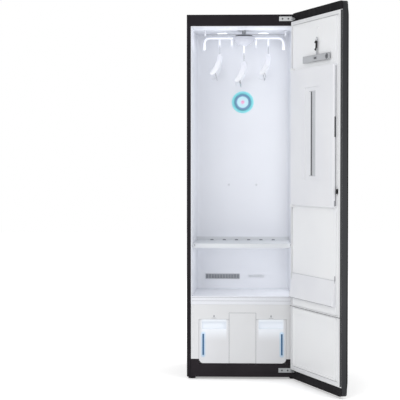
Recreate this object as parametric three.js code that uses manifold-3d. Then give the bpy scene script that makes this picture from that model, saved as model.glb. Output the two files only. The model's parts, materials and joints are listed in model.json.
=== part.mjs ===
// Clothes care steam cabinet, standing with its mirrored door open.
// Millimetres, +Z up. X runs left to right, Y from the door towards the wall.
// The origin is the centre of the base's underside, and the feet reach below it.
// Inside the cabinet group Y counts from the plane of the body's front face.

import * as THREE from 'three';
import { mergeVertices } from 'three/addons/utils/BufferGeometryUtils.js';
import Module from 'manifold-3d';

const wasm = await Module();
wasm.setup();

// Driving dimensions of the whole cabinet.
const BODY_WIDTH = 600;
const BODY_HEIGHT = 1947;
const BODY_DEPTH = 552;
const FOOT_HEIGHT = 13;
const SHEET = 2;
const LINER_WALL = 3;
const FIT_GAP = 0.3;
const CUT_OVERRUN = 6;

// Front frame and the openings it surrounds.
const STILE_WIDTH = 21.5;
const TOP_BEZEL_HEIGHT = 61;
const FRAME_DEPTH = 20;
const KICK_HEIGHT = 96;
const KICK_THICKNESS = 12;
const FLUSH_STEP = 1;
const OPENING_HALF = BODY_WIDTH / 2 - STILE_WIDTH;
const OPENING_TOP = BODY_HEIGHT - TOP_BEZEL_HEIGHT;

// Garment chamber, a tapered plastic liner.
const CHAMBER_FLOOR = 435;
const CHAMBER_DEPTH = 432;
const CHAMBER_TAPER = 14;
const CHAMBER_CORNER = 34;
const SILL_BOTTOM = 391;
const SILL_THICKNESS = 5;
const CHAMBER_CEILING = OPENING_TOP - FIT_GAP - LINER_WALL;

// Lower water module.
const TANK_FROM_STILE = 44;
const TANK_BOTTOM = 73.5;
const TANK_TOP = 310;
const TANK_DEPTH = 110;
const TANK_WALL = 2.5;
const TANK_CLEARANCE = 1;
const CENTRE_COVER_WIDTH = 143;
const CENTRE_COVER_TOP = 345;
const MODULE_THICKNESS = 4;
const BAY_WALL = 4;

// Base.
const BASE_HEIGHT = 36;
const BASE_FLOOR = 3;

// Door, drawn closed and turned open about its hinge pins.
const DOOR_THICKNESS = 39;
const DOOR_GAP = 11;
const DOOR_CORNER = 22;
const DOOR_OPEN_ANGLE = 112;
const DOOR_PIVOT_FROM_SIDE = 15;
const DOOR_PIVOT_FROM_BODY = 30;
const RAIL_WIDTH = 27;
const RAIL_EDGE_RADIUS = 14;
const GLASS_THICKNESS = 3.7;
const GLASS_CORNER = 16;
const GLASS_INSET = 3;
const DOOR_TOP_BORDER = 43;
const DOOR_BOTTOM_BORDER = 45;
const DOOR_LINER_PLATE = 3;
const DOOR_LINER_RAISE = 6;
const PRESS_BELOW_LINER = 263;
const PRESS_HEIGHT = 709;
const PRESS_FREE_MARGIN = 54;

// Places that several pieces share.
const BODY_HALF = BODY_WIDTH / 2;
const TANK_HALF = OPENING_HALF - TANK_FROM_STILE;
const CENTRE_HALF = CENTRE_COVER_WIDTH / 2;
const DOOR_INNER = -DOOR_GAP;
const DOOR_FRONT = DOOR_INNER - DOOR_THICKNESS;
const PIVOT_X = BODY_HALF - DOOR_PIVOT_FROM_SIDE;
const PIVOT_Y = -DOOR_PIVOT_FROM_BODY;

// Basic shapes. Every function returns a closed geometry in cabinet coordinates.

function block([xLow, xHigh], [yLow, yHigh], [zLow, zHigh]) {
  const geometry = new THREE.BoxGeometry(xHigh - xLow, yHigh - yLow, zHigh - zLow);
  geometry.translate((xLow + xHigh) / 2, (yLow + yHigh) / 2, (zLow + zHigh) / 2);
  return geometry;
}

const AXES = {
  x: new THREE.Vector3(1, 0, 0),
  y: new THREE.Vector3(0, 1, 0),
  z: new THREE.Vector3(0, 0, 1),
  back: new THREE.Vector3(0, -1, 0),
};

// The outline's own two axes and the direction it is extruded along.
const BASES = {
  x: [AXES.y, AXES.z, AXES.x],
  y: [AXES.x, AXES.z, AXES.back],
  z: [AXES.x, AXES.y, AXES.z],
};

// An outline extruded along one axis, from one coordinate to another.
// Along x the outline is drawn in (Y, Z), along y in (X, Z) and along z in (X, Y).
function extruded(shape, axis, [from, to], curveSegments = 6) {
  const settings = { depth: to - from, bevelEnabled: false, curveSegments };
  const geometry = new THREE.ExtrudeGeometry(shape, settings);
  geometry.applyMatrix4(new THREE.Matrix4().makeBasis(...BASES[axis]));
  const start = axis === 'y' ? to : from;
  geometry.translate(axis === 'x' ? start : 0, axis === 'y' ? start : 0, axis === 'z' ? start : 0);
  return geometry;
}

function outline(points) {
  return new THREE.Shape(points.map(([a, b]) => new THREE.Vector2(a, b)));
}

// A rectangle whose four corners have their own radii, counter-clockwise from low left.
function roundedRectangle([aLow, aHigh], [bLow, bHigh], radii) {
  const [lowLeft, lowRight, highRight, highLeft] = radii;
  const shape = new THREE.Shape();
  shape.moveTo(aLow + lowLeft, bLow);
  shape.lineTo(aHigh - lowRight, bLow);
  if (lowRight) shape.absarc(aHigh - lowRight, bLow + lowRight, lowRight, -Math.PI / 2, 0);
  shape.lineTo(aHigh, bHigh - highRight);
  if (highRight) shape.absarc(aHigh - highRight, bHigh - highRight, highRight, 0, Math.PI / 2);
  shape.lineTo(aLow + highLeft, bHigh);
  if (highLeft) shape.absarc(aLow + highLeft, bHigh - highLeft, highLeft, Math.PI / 2, Math.PI);
  shape.lineTo(aLow, bLow + lowLeft);
  if (lowLeft) shape.absarc(aLow + lowLeft, bLow + lowLeft, lowLeft, Math.PI, Math.PI * 1.5);
  return shape;
}

function evenRadii(radius) {
  return [radius, radius, radius, radius];
}

// A slot with round ends, as a shape or as a hole in one.
const SLOT_END_SHARE = 0.98;
function slotShape(centreA, centreB, length, width) {
  const halfLength = length / 2;
  const halfWidth = width / 2;
  const across = [centreA - halfLength, centreA + halfLength];
  const up = [centreB - halfWidth, centreB + halfWidth];
  return roundedRectangle(across, up, evenRadii(halfWidth * SLOT_END_SHARE));
}

// A round rod along one axis.
function rod(axis, radius, [from, to], [a, b], sides = 16) {
  const geometry = new THREE.CylinderGeometry(radius, radius, to - from, sides);
  const middle = (from + to) / 2;
  if (axis === 'x') {
    geometry.rotateZ(Math.PI / 2);
    geometry.translate(middle, a, b);
  } else if (axis === 'y') {
    geometry.translate(a, middle, b);
  } else {
    geometry.rotateX(Math.PI / 2);
    geometry.translate(a, b, middle);
  }
  return geometry;
}

// A turned piece. The profile lists (radius, height) from the axis back to the axis.
function turned(profile, sides = 24) {
  const points = profile.map(([radius, height]) => new THREE.Vector2(radius, height));
  const geometry = new THREE.LatheGeometry(points, sides);
  geometry.rotateX(Math.PI / 2);
  return geometry;
}

// Solids for joining and cutting.

function toSolid(geometry) {
  const bare = geometry.clone();
  bare.deleteAttribute('normal');
  bare.deleteAttribute('uv');
  const merged = mergeVertices(bare);
  const vertProperties = new Float32Array(merged.getAttribute('position').array);
  const triVerts = new Uint32Array(merged.index.array);
  return new wasm.Manifold(new wasm.Mesh({ numProp: 3, vertProperties, triVerts }));
}

function toGeometry(solid) {
  const { vertProperties, triVerts } = solid.getMesh();
  const geometry = new THREE.BufferGeometry();
  geometry.setAttribute('position', new THREE.BufferAttribute(new Float32Array(vertProperties), 3));
  geometry.setIndex(new THREE.BufferAttribute(new Uint32Array(triVerts), 1));
  geometry.computeVertexNormals();
  return geometry;
}

function join(first, ...others) {
  let solid = toSolid(first);
  for (const other of others) solid = solid.add(toSolid(other));
  return toGeometry(solid);
}

function cut(first, ...others) {
  let solid = toSolid(first);
  for (const other of others) solid = solid.subtract(toSolid(other));
  return toGeometry(solid);
}

function common(first, second) {
  return toGeometry(toSolid(first).intersect(toSolid(second)));
}

// Materials, one for each finish.

function finish(color, roughness, metalness = 0) {
  return new THREE.MeshStandardMaterial({ color, roughness, metalness });
}

const FINISH = {
  casing: finish(0x2b2829, 0.55, 0.2),
  frameBlack: finish(0x2a2629, 0.5),
  linerWhite: finish(0xe4e6ea, 0.45),
  moduleWhite: finish(0xe6e7e8, 0.4),
  tankWhite: finish(0xe9eaee, 0.35),
  gaugeBlue: finish(0x3c5f80, 0.15),
  lampGlow: finish(0xd8f4fb, 0.3),
  lampBlue: finish(0x7f93b8, 0.3),
  barWhite: finish(0xf6f7fa, 0.35),
  hangerWhite: finish(0xf2f3f6, 0.45),
  steel: finish(0xc9cbcc, 0.3, 0.9),
  railGrey: finish(0x6d6e70, 0.4, 0.8),
  mirror: finish(0x8f9194, 0.08, 0.9),
  rubberGrey: finish(0xc5c7c9, 0.7),
  plasticBlack: finish(0x1a1a1b, 0.5),
  plasticGrey: finish(0xa9abad, 0.5),
  galvanised: finish(0xa7a9a8, 0.45, 0.7),
  compressorBlack: finish(0x232324, 0.45, 0.3),
  boardGreen: finish(0x2f6b45, 0.6),
};

const cabinet = new THREE.Group();
cabinet.position.y = -BODY_DEPTH / 2;

function piece(name, geometry, material, parent = cabinet) {
  const mesh = new THREE.Mesh(geometry, material);
  mesh.name = name;
  parent.add(mesh);
  return mesh;
}

// Casing: a steel wrap open at the front and bottom, a rear cover, a base tray and four feet.

const SHELL_INNER = BODY_HALF - SHEET;
const SHELL_FRONT = FRAME_DEPTH + FIT_GAP;
const VENT_ROWS = 9;
const VENT_PITCH = 16;
const VENT_LENGTH = 130;
const VENT_WIDTH = 6;
const VENT_LOW = 150;
const VENT_X = 110;
const GLAND_RADIUS = 11;
const GLAND_FROM_SIDE = 70;
const glandX = -BODY_HALF + GLAND_FROM_SIDE;
const GLAND_Z = 82;
const FOOT_RADIUS = 20;
const FOOT_PAD = 7;
const FOOT_STEM_RADIUS = 8;
const FOOT_SEAT_GAP = 2;
const FOOT_SEAT_DEPTH = 1.2;
const FOOT_FROM_SIDE = 26;
const FOOT_FROM_FRONT = 44;
const FOOT_FROM_BACK = 34;

const wrap = outline([
  [-BODY_HALF, 0],
  [-SHELL_INNER, 0],
  [-SHELL_INNER, BODY_HEIGHT - SHEET],
  [SHELL_INNER, BODY_HEIGHT - SHEET],
  [SHELL_INNER, 0],
  [BODY_HALF, 0],
  [BODY_HALF, BODY_HEIGHT],
  [-BODY_HALF, BODY_HEIGHT],
]);
piece('outer_shell', extruded(wrap, 'y', [SHELL_FRONT, BODY_DEPTH]), FINISH.casing);

const rearOutline = outline([
  [-SHELL_INNER + FIT_GAP, 0],
  [SHELL_INNER - FIT_GAP, 0],
  [SHELL_INNER - FIT_GAP, BODY_HEIGHT - SHEET - FIT_GAP],
  [-SHELL_INNER + FIT_GAP, BODY_HEIGHT - SHEET - FIT_GAP],
]);
for (const side of [-1, 1]) {
  for (let row = 0; row < VENT_ROWS; row += 1) {
    rearOutline.holes.push(slotShape(side * VENT_X, VENT_LOW + row * VENT_PITCH, VENT_LENGTH, VENT_WIDTH));
  }
}
piece('rear_cover', cut(
  extruded(rearOutline, 'y', [BODY_DEPTH - SHEET, BODY_DEPTH], 2),
  rod('y', GLAND_RADIUS, [BODY_DEPTH - SHEET - CUT_OVERRUN, BODY_DEPTH + CUT_OVERRUN], [glandX, GLAND_Z]),
), FINISH.galvanised);

// Each foot stands in a shallow round seat pressed into the tray's underside.
const FOOT_SEAT_RADIUS = FOOT_RADIUS + FOOT_SEAT_GAP;
const footPlaces = [];
for (const [sideName, side] of [['left', -1], ['right', 1]]) {
  const footX = side * (BODY_HALF - FOOT_FROM_SIDE);
  footPlaces.push([`front_${sideName}`, footX, FOOT_FROM_FRONT]);
  footPlaces.push([`rear_${sideName}`, footX, BODY_DEPTH - FOOT_FROM_BACK]);
}
const TRAY_HALF = SHELL_INNER - FIT_GAP;
const TRAY_FRONT = SHELL_FRONT;
const TRAY_BACK = BODY_DEPTH - SHEET - FIT_GAP;
piece('base_frame', cut(
  block([-TRAY_HALF, TRAY_HALF], [TRAY_FRONT, TRAY_BACK], [0, BASE_HEIGHT]),
  block(
    [-TRAY_HALF + SHEET, TRAY_HALF - SHEET],
    [TRAY_FRONT + SHEET, TRAY_BACK - SHEET],
    [BASE_FLOOR, BASE_HEIGHT + CUT_OVERRUN],
  ),
  ...footPlaces.map(([, x, y]) => rod('z', FOOT_SEAT_RADIUS, [-CUT_OVERRUN, FOOT_SEAT_DEPTH], [x, y], 28)),
), FINISH.galvanised);

function foot() {
  const padTop = -FOOT_HEIGHT + FOOT_PAD;
  return turned([
    [0, -FOOT_HEIGHT],
    [FOOT_RADIUS, -FOOT_HEIGHT],
    [FOOT_RADIUS, padTop],
    [FOOT_STEM_RADIUS, padTop],
    [FOOT_STEM_RADIUS, FOOT_SEAT_DEPTH - FIT_GAP],
    [0, FOOT_SEAT_DEPTH - FIT_GAP],
  ], 20);
}
for (const [placeName, x, y] of footPlaces) {
  piece(`foot_${placeName}`, foot(), FINISH.plasticBlack).position.set(x, y, 0);
}

// Cord inlet in the rear cover: a flanged bush with an open bore.
const GLAND_FLANGE = 3;
const GLAND_BORE = 4.5;
const GLAND_LENGTH = 14;
const glandSeat = GLAND_RADIUS - FIT_GAP;
const glandFlangeBack = BODY_DEPTH - SHEET - FIT_GAP;
piece('cord_gland', cut(
  join(
    rod('y', glandSeat, [BODY_DEPTH - GLAND_LENGTH, BODY_DEPTH], [glandX, GLAND_Z]),
    rod('y', glandSeat + GLAND_FLANGE, [glandFlangeBack - GLAND_FLANGE, glandFlangeBack], [glandX, GLAND_Z]),
  ),
  rod('y', GLAND_BORE, [BODY_DEPTH - GLAND_LENGTH - CUT_OVERRUN, BODY_DEPTH + CUT_OVERRUN],
    [glandX, GLAND_Z], 12),
), FINISH.plasticBlack);

// Front frame: two stiles and the top bezel in one black moulding, with a kick plate below.

piece('front_frame', extruded(outline([
  [-BODY_HALF, 0],
  [-OPENING_HALF, 0],
  [-OPENING_HALF, OPENING_TOP],
  [OPENING_HALF, OPENING_TOP],
  [OPENING_HALF, 0],
  [BODY_HALF, 0],
  [BODY_HALF, BODY_HEIGHT],
  [-BODY_HALF, BODY_HEIGHT],
]), 'y', [0, FRAME_DEPTH]), FINISH.frameBlack);

const KICK_NOTCH_HALF = TANK_HALF + TANK_CLEARANCE;
const KICK_NOTCH_BOTTOM = TANK_BOTTOM - FIT_GAP;
piece('kick_plate', extruded(outline([
  [-OPENING_HALF + FIT_GAP, 0],
  [OPENING_HALF - FIT_GAP, 0],
  [OPENING_HALF - FIT_GAP, KICK_HEIGHT],
  [KICK_NOTCH_HALF, KICK_HEIGHT],
  [KICK_NOTCH_HALF, KICK_NOTCH_BOTTOM],
  [-KICK_NOTCH_HALF, KICK_NOTCH_BOTTOM],
  [-KICK_NOTCH_HALF, KICK_HEIGHT],
  [-OPENING_HALF + FIT_GAP, KICK_HEIGHT],
]), 'y', [0, KICK_THICKNESS]), FINISH.frameBlack);

// Garment chamber: one tapered liner with a front sill, ledges for the shelf and seats
// for the lamps, the hanger drive, the lint filter and the steam outlet.

const LINER_HALF = OPENING_HALF - FIT_GAP;
const LINER_BACK = FLUSH_STEP + CHAMBER_DEPTH;
const BACK_WALL_FACE = LINER_BACK - LINER_WALL;

function chamberOutline(inset, front) {
  const frontHalf = LINER_HALF - inset;
  const backHalf = LINER_HALF - CHAMBER_TAPER - inset;
  const back = LINER_BACK - inset;
  const corner = CHAMBER_CORNER - inset;
  const slope = (frontHalf - backHalf) / (back - front);
  const sideAtCorner = backHalf + corner * slope;
  const shape = new THREE.Shape();
  shape.moveTo(-frontHalf, front);
  shape.lineTo(frontHalf, front);
  shape.lineTo(sideAtCorner, back - corner);
  shape.quadraticCurveTo(backHalf, back, backHalf - corner, back);
  shape.lineTo(-backHalf + corner, back);
  shape.quadraticCurveTo(-backHalf, back, -sideAtCorner, back - corner);
  return shape;
}

// Half the chamber's inner width at a depth behind the front face.
function chamberHalf(y) {
  return LINER_HALF - LINER_WALL - CHAMBER_TAPER * (y / LINER_BACK);
}

// A flat strip that follows both side walls' taper, from one depth to another.
function taperedBar([yFront, yBack], inset) {
  return outline([
    [-chamberHalf(yFront) + inset, yFront],
    [chamberHalf(yFront) - inset, yFront],
    [chamberHalf(yBack) - inset, yBack],
    [-chamberHalf(yBack) + inset, yBack],
  ]);
}

// The ring lamp, high on the back wall.
const HALO_BELOW_CEILING = 382.7;
const HALO_GLOW_RADIUS = 63;
const HALO_CAP_RADIUS = 47;
const HALO_BORE = 40;
const HALO_PROUD = 4;
const HALO_CAP_PROUD = 12;
const haloHeight = CHAMBER_CEILING - HALO_BELOW_CEILING;

// The lint filter and the steam outlet, low on the back wall.
const FILTER_X = -114.5;
const FILTER_WIDTH = 195;
const FILTER_HEIGHT = 29;
const FILTER_Z = 505.5;
const FILTER_PROUD = 4;
const FILTER_LENGTH = 22;
const OUTLET_X = 79;
const OUTLET_WIDTH = 88;
const OUTLET_HEIGHT = 14;
const OUTLET_Z = 507;
const OUTLET_PROUD = 5;
const OUTLET_LENGTH = 30;

// The two ceiling lights, behind the hanger bar.
const LIGHT_X = 116;
const LIGHT_Y = 350;
const LIGHT_RADIUS = 30;
const LIGHT_SEAT_RADIUS = 24;
const LIGHT_PROUD = 3;
const LIGHT_HEIGHT = 9;

// The hanger bar's travel and the neck that comes down through the ceiling.
const HANG_Y = 215;
const BAR_STROKE = 20;
const BAR_REST_OFFSET = 6.5;
const NECK_RADIUS = 11;
const NECK_CLEARANCE = 3;

// The shelf and the ledges it lies on.
const SHELF_TOP = 715;
const SHELF_THICKNESS = 5;
const SHELF_FRONT = 70;
const SHELF_BACK = 398;
const SHELF_SIDE_GAP = 1;
const SHELF_RIM_THICKNESS = 8;
const SHELF_RIM_HEIGHT = 23;
const SHELF_LIP_HEIGHT = 20;
const SHELF_LIP_THICKNESS = 5;
const SHELF_SLOTS = 6;
const SHELF_SLOT_PITCH = 69.4;
const SHELF_SLOT_LENGTH = 36;
const SHELF_SLOT_WIDTH = 11;
const SHELF_SLOT_FROM_BACK = 26;
const LEDGE_WIDTH = 10;
const LEDGE_HEIGHT = 9;
const LEDGE_FRONT_GAP = 4;

const ledgeTop = SHELF_TOP - SHELF_THICKNESS - FIT_GAP;
const ledgeRun = [SHELF_FRONT + SHELF_RIM_THICKNESS + LEDGE_FRONT_GAP, SHELF_BACK];
const ledgeZone = common(
  extruded(chamberOutline(LINER_WALL / 2, FLUSH_STEP), 'z', [ledgeTop - LEDGE_HEIGHT, ledgeTop]),
  block([-LINER_HALF, LINER_HALF], ledgeRun, [ledgeTop - LEDGE_HEIGHT, ledgeTop]),
);
const betweenLedges = extruded(
  taperedBar([ledgeRun[0] - CUT_OVERRUN, ledgeRun[1] + CUT_OVERRUN], LEDGE_WIDTH),
  'z',
  [ledgeTop - LEDGE_HEIGHT - CUT_OVERRUN, ledgeTop + CUT_OVERRUN],
);
const ledges = cut(ledgeZone, betweenLedges);

const neckHalfRun = BAR_STROKE + NECK_RADIUS + NECK_CLEARANCE;
const ceilingCut = [CHAMBER_CEILING - CUT_OVERRUN, OPENING_TOP + CUT_OVERRUN];
const wallCut = [BACK_WALL_FACE - CUT_OVERRUN, LINER_BACK + CUT_OVERRUN];
const neckSlot = slotShape(0, HANG_Y, neckHalfRun * 2, (NECK_RADIUS + NECK_CLEARANCE) * 2);
const filterHole = [
  [FILTER_X - FILTER_WIDTH / 2 - FIT_GAP, FILTER_X + FILTER_WIDTH / 2 + FIT_GAP],
  wallCut,
  [FILTER_Z - FILTER_HEIGHT / 2 - FIT_GAP, FILTER_Z + FILTER_HEIGHT / 2 + FIT_GAP],
];
const outletHole = [
  [OUTLET_X - OUTLET_WIDTH / 2 - FIT_GAP, OUTLET_X + OUTLET_WIDTH / 2 + FIT_GAP],
  wallCut,
  [OUTLET_Z - OUTLET_HEIGHT / 2 - FIT_GAP, OUTLET_Z + OUTLET_HEIGHT / 2 + FIT_GAP],
];

const linerBox = extruded(
  chamberOutline(0, FLUSH_STEP),
  'z',
  [CHAMBER_FLOOR - LINER_WALL, CHAMBER_CEILING + LINER_WALL],
);
const chamberSpace = extruded(
  chamberOutline(LINER_WALL, FLUSH_STEP - CUT_OVERRUN),
  'z',
  [CHAMBER_FLOOR, CHAMBER_CEILING],
);
const sill = block(
  [-LINER_HALF, LINER_HALF],
  [FLUSH_STEP, FLUSH_STEP + SILL_THICKNESS],
  [SILL_BOTTOM, CHAMBER_FLOOR - LINER_WALL / 2],
);
piece('chamber_liner', cut(
  join(cut(linerBox, chamberSpace), sill, ledges),
  rod('y', HALO_BORE + 2 * FIT_GAP, wallCut, [0, haloHeight], 24),
  block(...filterHole),
  block(...outletHole),
  rod('z', LIGHT_SEAT_RADIUS + FIT_GAP, ceilingCut, [-LIGHT_X, LIGHT_Y], 20),
  rod('z', LIGHT_SEAT_RADIUS + FIT_GAP, ceilingCut, [LIGHT_X, LIGHT_Y], 20),
  extruded(neckSlot, 'z', ceilingCut, 5),
), FINISH.linerWhite);

// Ring lamp: a glowing diffuser with a separate centre cap in it.
// Both are turned about an axis that comes straight out of the back wall.

function faceForward(mesh, x, z) {
  mesh.rotation.x = Math.PI / 2;
  mesh.position.set(x, BACK_WALL_FACE - FIT_GAP, z);
}
const haloBack = -LINER_WALL - FIT_GAP;
faceForward(piece('halo_diffuser', turned([
  [HALO_CAP_RADIUS - HALO_PROUD, 0],
  [HALO_GLOW_RADIUS, 0],
  [HALO_GLOW_RADIUS - HALO_PROUD / 2, HALO_PROUD],
  [HALO_CAP_RADIUS + FIT_GAP, HALO_PROUD],
  [HALO_CAP_RADIUS + FIT_GAP, HALO_PROUD / 2],
  [HALO_CAP_RADIUS - HALO_PROUD, HALO_PROUD / 2],
  [HALO_CAP_RADIUS - HALO_PROUD, 0],
], 32), FINISH.lampGlow), 0, haloHeight);
const capSeat = HALO_PROUD / 2 + FIT_GAP;
faceForward(piece('halo_cap', turned([
  [0, haloBack - LINER_WALL],
  [HALO_BORE, haloBack - LINER_WALL],
  [HALO_BORE, capSeat],
  [HALO_CAP_RADIUS, capSeat],
  [HALO_CAP_RADIUS, HALO_CAP_PROUD - HALO_PROUD],
  [HALO_CAP_RADIUS - HALO_PROUD, HALO_CAP_PROUD],
  [0, HALO_CAP_PROUD],
], 32), FINISH.lampBlue), 0, haloHeight);

// Ceiling lights: a shallow lens whose flange lies against the ceiling.
// The lens face is given in shares of its seat's radius and of its proud height.
const LENS_SHARES = [[0, 1.6], [0.7, 1.4]];
const lensSeatTop = LINER_WALL + 2 * FIT_GAP;
for (const [sideName, side] of [['left', -1], ['right', 1]]) {
  const lens = turned([
    ...LENS_SHARES.map(([out, down]) => [out * LIGHT_SEAT_RADIUS, -down * LIGHT_PROUD]),
    [LIGHT_RADIUS, 0],
    [LIGHT_SEAT_RADIUS, 0],
    [LIGHT_SEAT_RADIUS, lensSeatTop + LIGHT_HEIGHT - LIGHT_PROUD],
    [0, lensSeatTop + LIGHT_HEIGHT - LIGHT_PROUD],
  ], 20);
  piece(`ceiling_light_${sideName}`, lens, FINISH.lampGlow)
    .position.set(side * LIGHT_X, LIGHT_Y, CHAMBER_CEILING - FIT_GAP);
}

// A block pierced from front to back by a row of upright slots.
function grille([xLow, xHigh], depths, [zLow, zHigh], slots, bar, rim) {
  const cell = (xHigh - xLow - 2 * rim + bar) / slots;
  const openings = [];
  for (let slot = 0; slot < slots; slot += 1) {
    const left = xLow + rim + slot * cell;
    const through = [depths[0] - CUT_OVERRUN, depths[1] + CUT_OVERRUN];
    openings.push(block([left, left + cell - bar], through, [zLow + rim, zHigh - rim]));
  }
  return cut(block([xLow, xHigh], depths, [zLow, zHigh]), ...openings);
}

// Lint filter: a slotted cassette that pulls straight out of the back wall.
const FILTER_COLUMNS = 12;
const FILTER_BAR = 4;
const FILTER_RIM = 4;
const filterFront = BACK_WALL_FACE - FILTER_PROUD;
piece('lint_filter', grille(
  centred(FILTER_X, FILTER_WIDTH),
  [filterFront, filterFront + FILTER_LENGTH],
  centred(FILTER_Z, FILTER_HEIGHT),
  FILTER_COLUMNS,
  FILTER_BAR,
  FILTER_RIM,
), FINISH.plasticGrey);

// Steam outlet: a louvred nozzle through the back wall.
const OUTLET_SLOTS = 4;
const OUTLET_BAR = 4;
const OUTLET_RIM = 3.5;
const outletFront = BACK_WALL_FACE - OUTLET_PROUD;
piece('steam_outlet', grille(
  centred(OUTLET_X, OUTLET_WIDTH),
  [outletFront, outletFront + OUTLET_LENGTH],
  centred(OUTLET_Z, OUTLET_HEIGHT),
  OUTLET_SLOTS,
  OUTLET_BAR,
  OUTLET_RIM,
), FINISH.plasticGrey);

// Shelf: a slotted tray with a deep front rim and a low rear lip.
const shelfPlate = taperedBar([SHELF_FRONT, SHELF_BACK], SHELF_SIDE_GAP);
for (let slot = 0; slot < SHELF_SLOTS; slot += 1) {
  const slotX = (slot - (SHELF_SLOTS - 1) / 2) * SHELF_SLOT_PITCH;
  shelfPlate.holes.push(
    slotShape(slotX, SHELF_BACK - SHELF_SLOT_FROM_BACK, SHELF_SLOT_LENGTH, SHELF_SLOT_WIDTH),
  );
}
const rimBack = SHELF_FRONT + SHELF_RIM_THICKNESS;
piece('shelf', join(
  extruded(shelfPlate, 'z', [SHELF_TOP - SHELF_THICKNESS, SHELF_TOP], 4),
  extruded(taperedBar([SHELF_FRONT, rimBack], SHELF_SIDE_GAP), 'z',
    [SHELF_TOP - SHELF_RIM_HEIGHT, SHELF_TOP]),
  extruded(
    taperedBar([SHELF_BACK - SHELF_LIP_THICKNESS, SHELF_BACK], SHELF_SIDE_GAP),
    'z',
    [SHELF_TOP - SHELF_THICKNESS, SHELF_TOP + SHELF_LIP_HEIGHT],
  ),
), FINISH.linerWhite);

// Lower water module: a white fascia, a moulded bay behind it and a cover between the tanks.

const moduleOuter = OPENING_HALF - FIT_GAP;
const fasciaTankHalf = TANK_HALF + TANK_CLEARANCE;
const fasciaTankTop = TANK_TOP + TANK_CLEARANCE;
const fasciaCoverHalf = CENTRE_HALF + FIT_GAP;
const fasciaCoverTop = CENTRE_COVER_TOP + FIT_GAP;
const moduleFront = FLUSH_STEP;
const moduleBack = moduleFront + MODULE_THICKNESS;
piece('module_fascia', extruded(outline([
  [-moduleOuter, KICK_HEIGHT + FIT_GAP],
  [-fasciaTankHalf, KICK_HEIGHT + FIT_GAP],
  [-fasciaTankHalf, fasciaTankTop],
  [-fasciaCoverHalf, fasciaTankTop],
  [-fasciaCoverHalf, fasciaCoverTop],
  [fasciaCoverHalf, fasciaCoverTop],
  [fasciaCoverHalf, fasciaTankTop],
  [fasciaTankHalf, fasciaTankTop],
  [fasciaTankHalf, KICK_HEIGHT + FIT_GAP],
  [moduleOuter, KICK_HEIGHT + FIT_GAP],
  [moduleOuter, SILL_BOTTOM - FIT_GAP],
  [-moduleOuter, SILL_BOTTOM - FIT_GAP],
]), 'y', [moduleFront, moduleBack]), FINISH.moduleWhite);

const coverBottom = TANK_BOTTOM;
piece('centre_cover', extruded(
  roundedRectangle([-CENTRE_HALF, CENTRE_HALF], [coverBottom, CENTRE_COVER_TOP], evenRadii(0)),
  'y',
  [moduleFront, moduleBack],
), FINISH.moduleWhite);

const BAY_TOP_WALL = 6;
const BAY_LEG_WIDTH = 16;
const BAY_LEG_INSET = 60;
const bayFront = KICK_THICKNESS + FIT_GAP;
const bayInnerBack = moduleFront + TANK_DEPTH + TANK_CLEARANCE;
const bayBack = bayInnerBack + BAY_WALL;
const bayFloor = TANK_BOTTOM - FIT_GAP;
const bayHalf = fasciaTankHalf + BAY_WALL;
const bayTop = fasciaTankTop + BAY_TOP_WALL;
const bayBottom = bayFloor - BAY_WALL;
const bayMiddleHalf = CENTRE_HALF - BAY_WALL;
const bayCut = [bayFront - CUT_OVERRUN, bayInnerBack];
const bayLegs = [-1, 1].map((side) => {
  const legX = side * (bayHalf - BAY_LEG_INSET);
  return block(
    [legX - BAY_LEG_WIDTH / 2, legX + BAY_LEG_WIDTH / 2],
    [TRAY_FRONT + SHEET + FIT_GAP, bayBack],
    [BASE_FLOOR + FIT_GAP, bayBottom + BAY_WALL / 2],
  );
});
piece('tank_bay', cut(
  join(block([-bayHalf, bayHalf], [bayFront, bayBack], [bayBottom, bayTop]), ...bayLegs),
  block([-fasciaTankHalf, -CENTRE_HALF], bayCut, [bayFloor, fasciaTankTop]),
  block([CENTRE_HALF, fasciaTankHalf], bayCut, [bayFloor, fasciaTankTop]),
  block([-bayMiddleHalf, bayMiddleHalf], bayCut, [bayFloor, fasciaTankTop]),
), FINISH.moduleWhite);

// Two water tanks, mirror images: a box open at the top with a recessed grip and a
// window slot in its front, a lid with a filling hole, and a clear level window.

const TANK_LID = 7;
const TANK_LID_RIM = 4;
const TANK_RIM_WIDTH = 2;
const TANK_CORNER = 24;
const GRIP_WIDTH = 130;
const GRIP_HEIGHT = 40;
const GRIP_DEPTH = 24;
const GRIP_BELOW_TOP = 11;
const FILL_RADIUS = 18;
const WINDOW_FROM_TANK_SIDE = 23;
const windowX = TANK_HALF - WINDOW_FROM_TANK_SIDE;
const WINDOW_WIDTH = 9;
const WINDOW_LOW = 117.5;
const WINDOW_HIGH = 232;
const WINDOW_PROUD = 0.5;

const tankInner = CENTRE_HALF + TANK_CLEARANCE;
const tankMiddle = (TANK_HALF + tankInner) / 2;
const tankBack = moduleFront + TANK_DEPTH;
const tankShellTop = TANK_TOP - TANK_LID - FIT_GAP;
const gripTop = TANK_TOP - GRIP_BELOW_TOP;

function tankOutline(side, inset, [low, high], corner) {
  const edges = [side * (tankInner + inset), side * (TANK_HALF - inset)].sort((a, b) => a - b);
  const radii = side < 0 ? [corner, 0, 0, 0] : [0, corner, 0, 0];
  return roundedRectangle(edges, [low, high], radii);
}

function centred(middle, width) {
  return [middle - width / 2, middle + width / 2];
}

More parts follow.
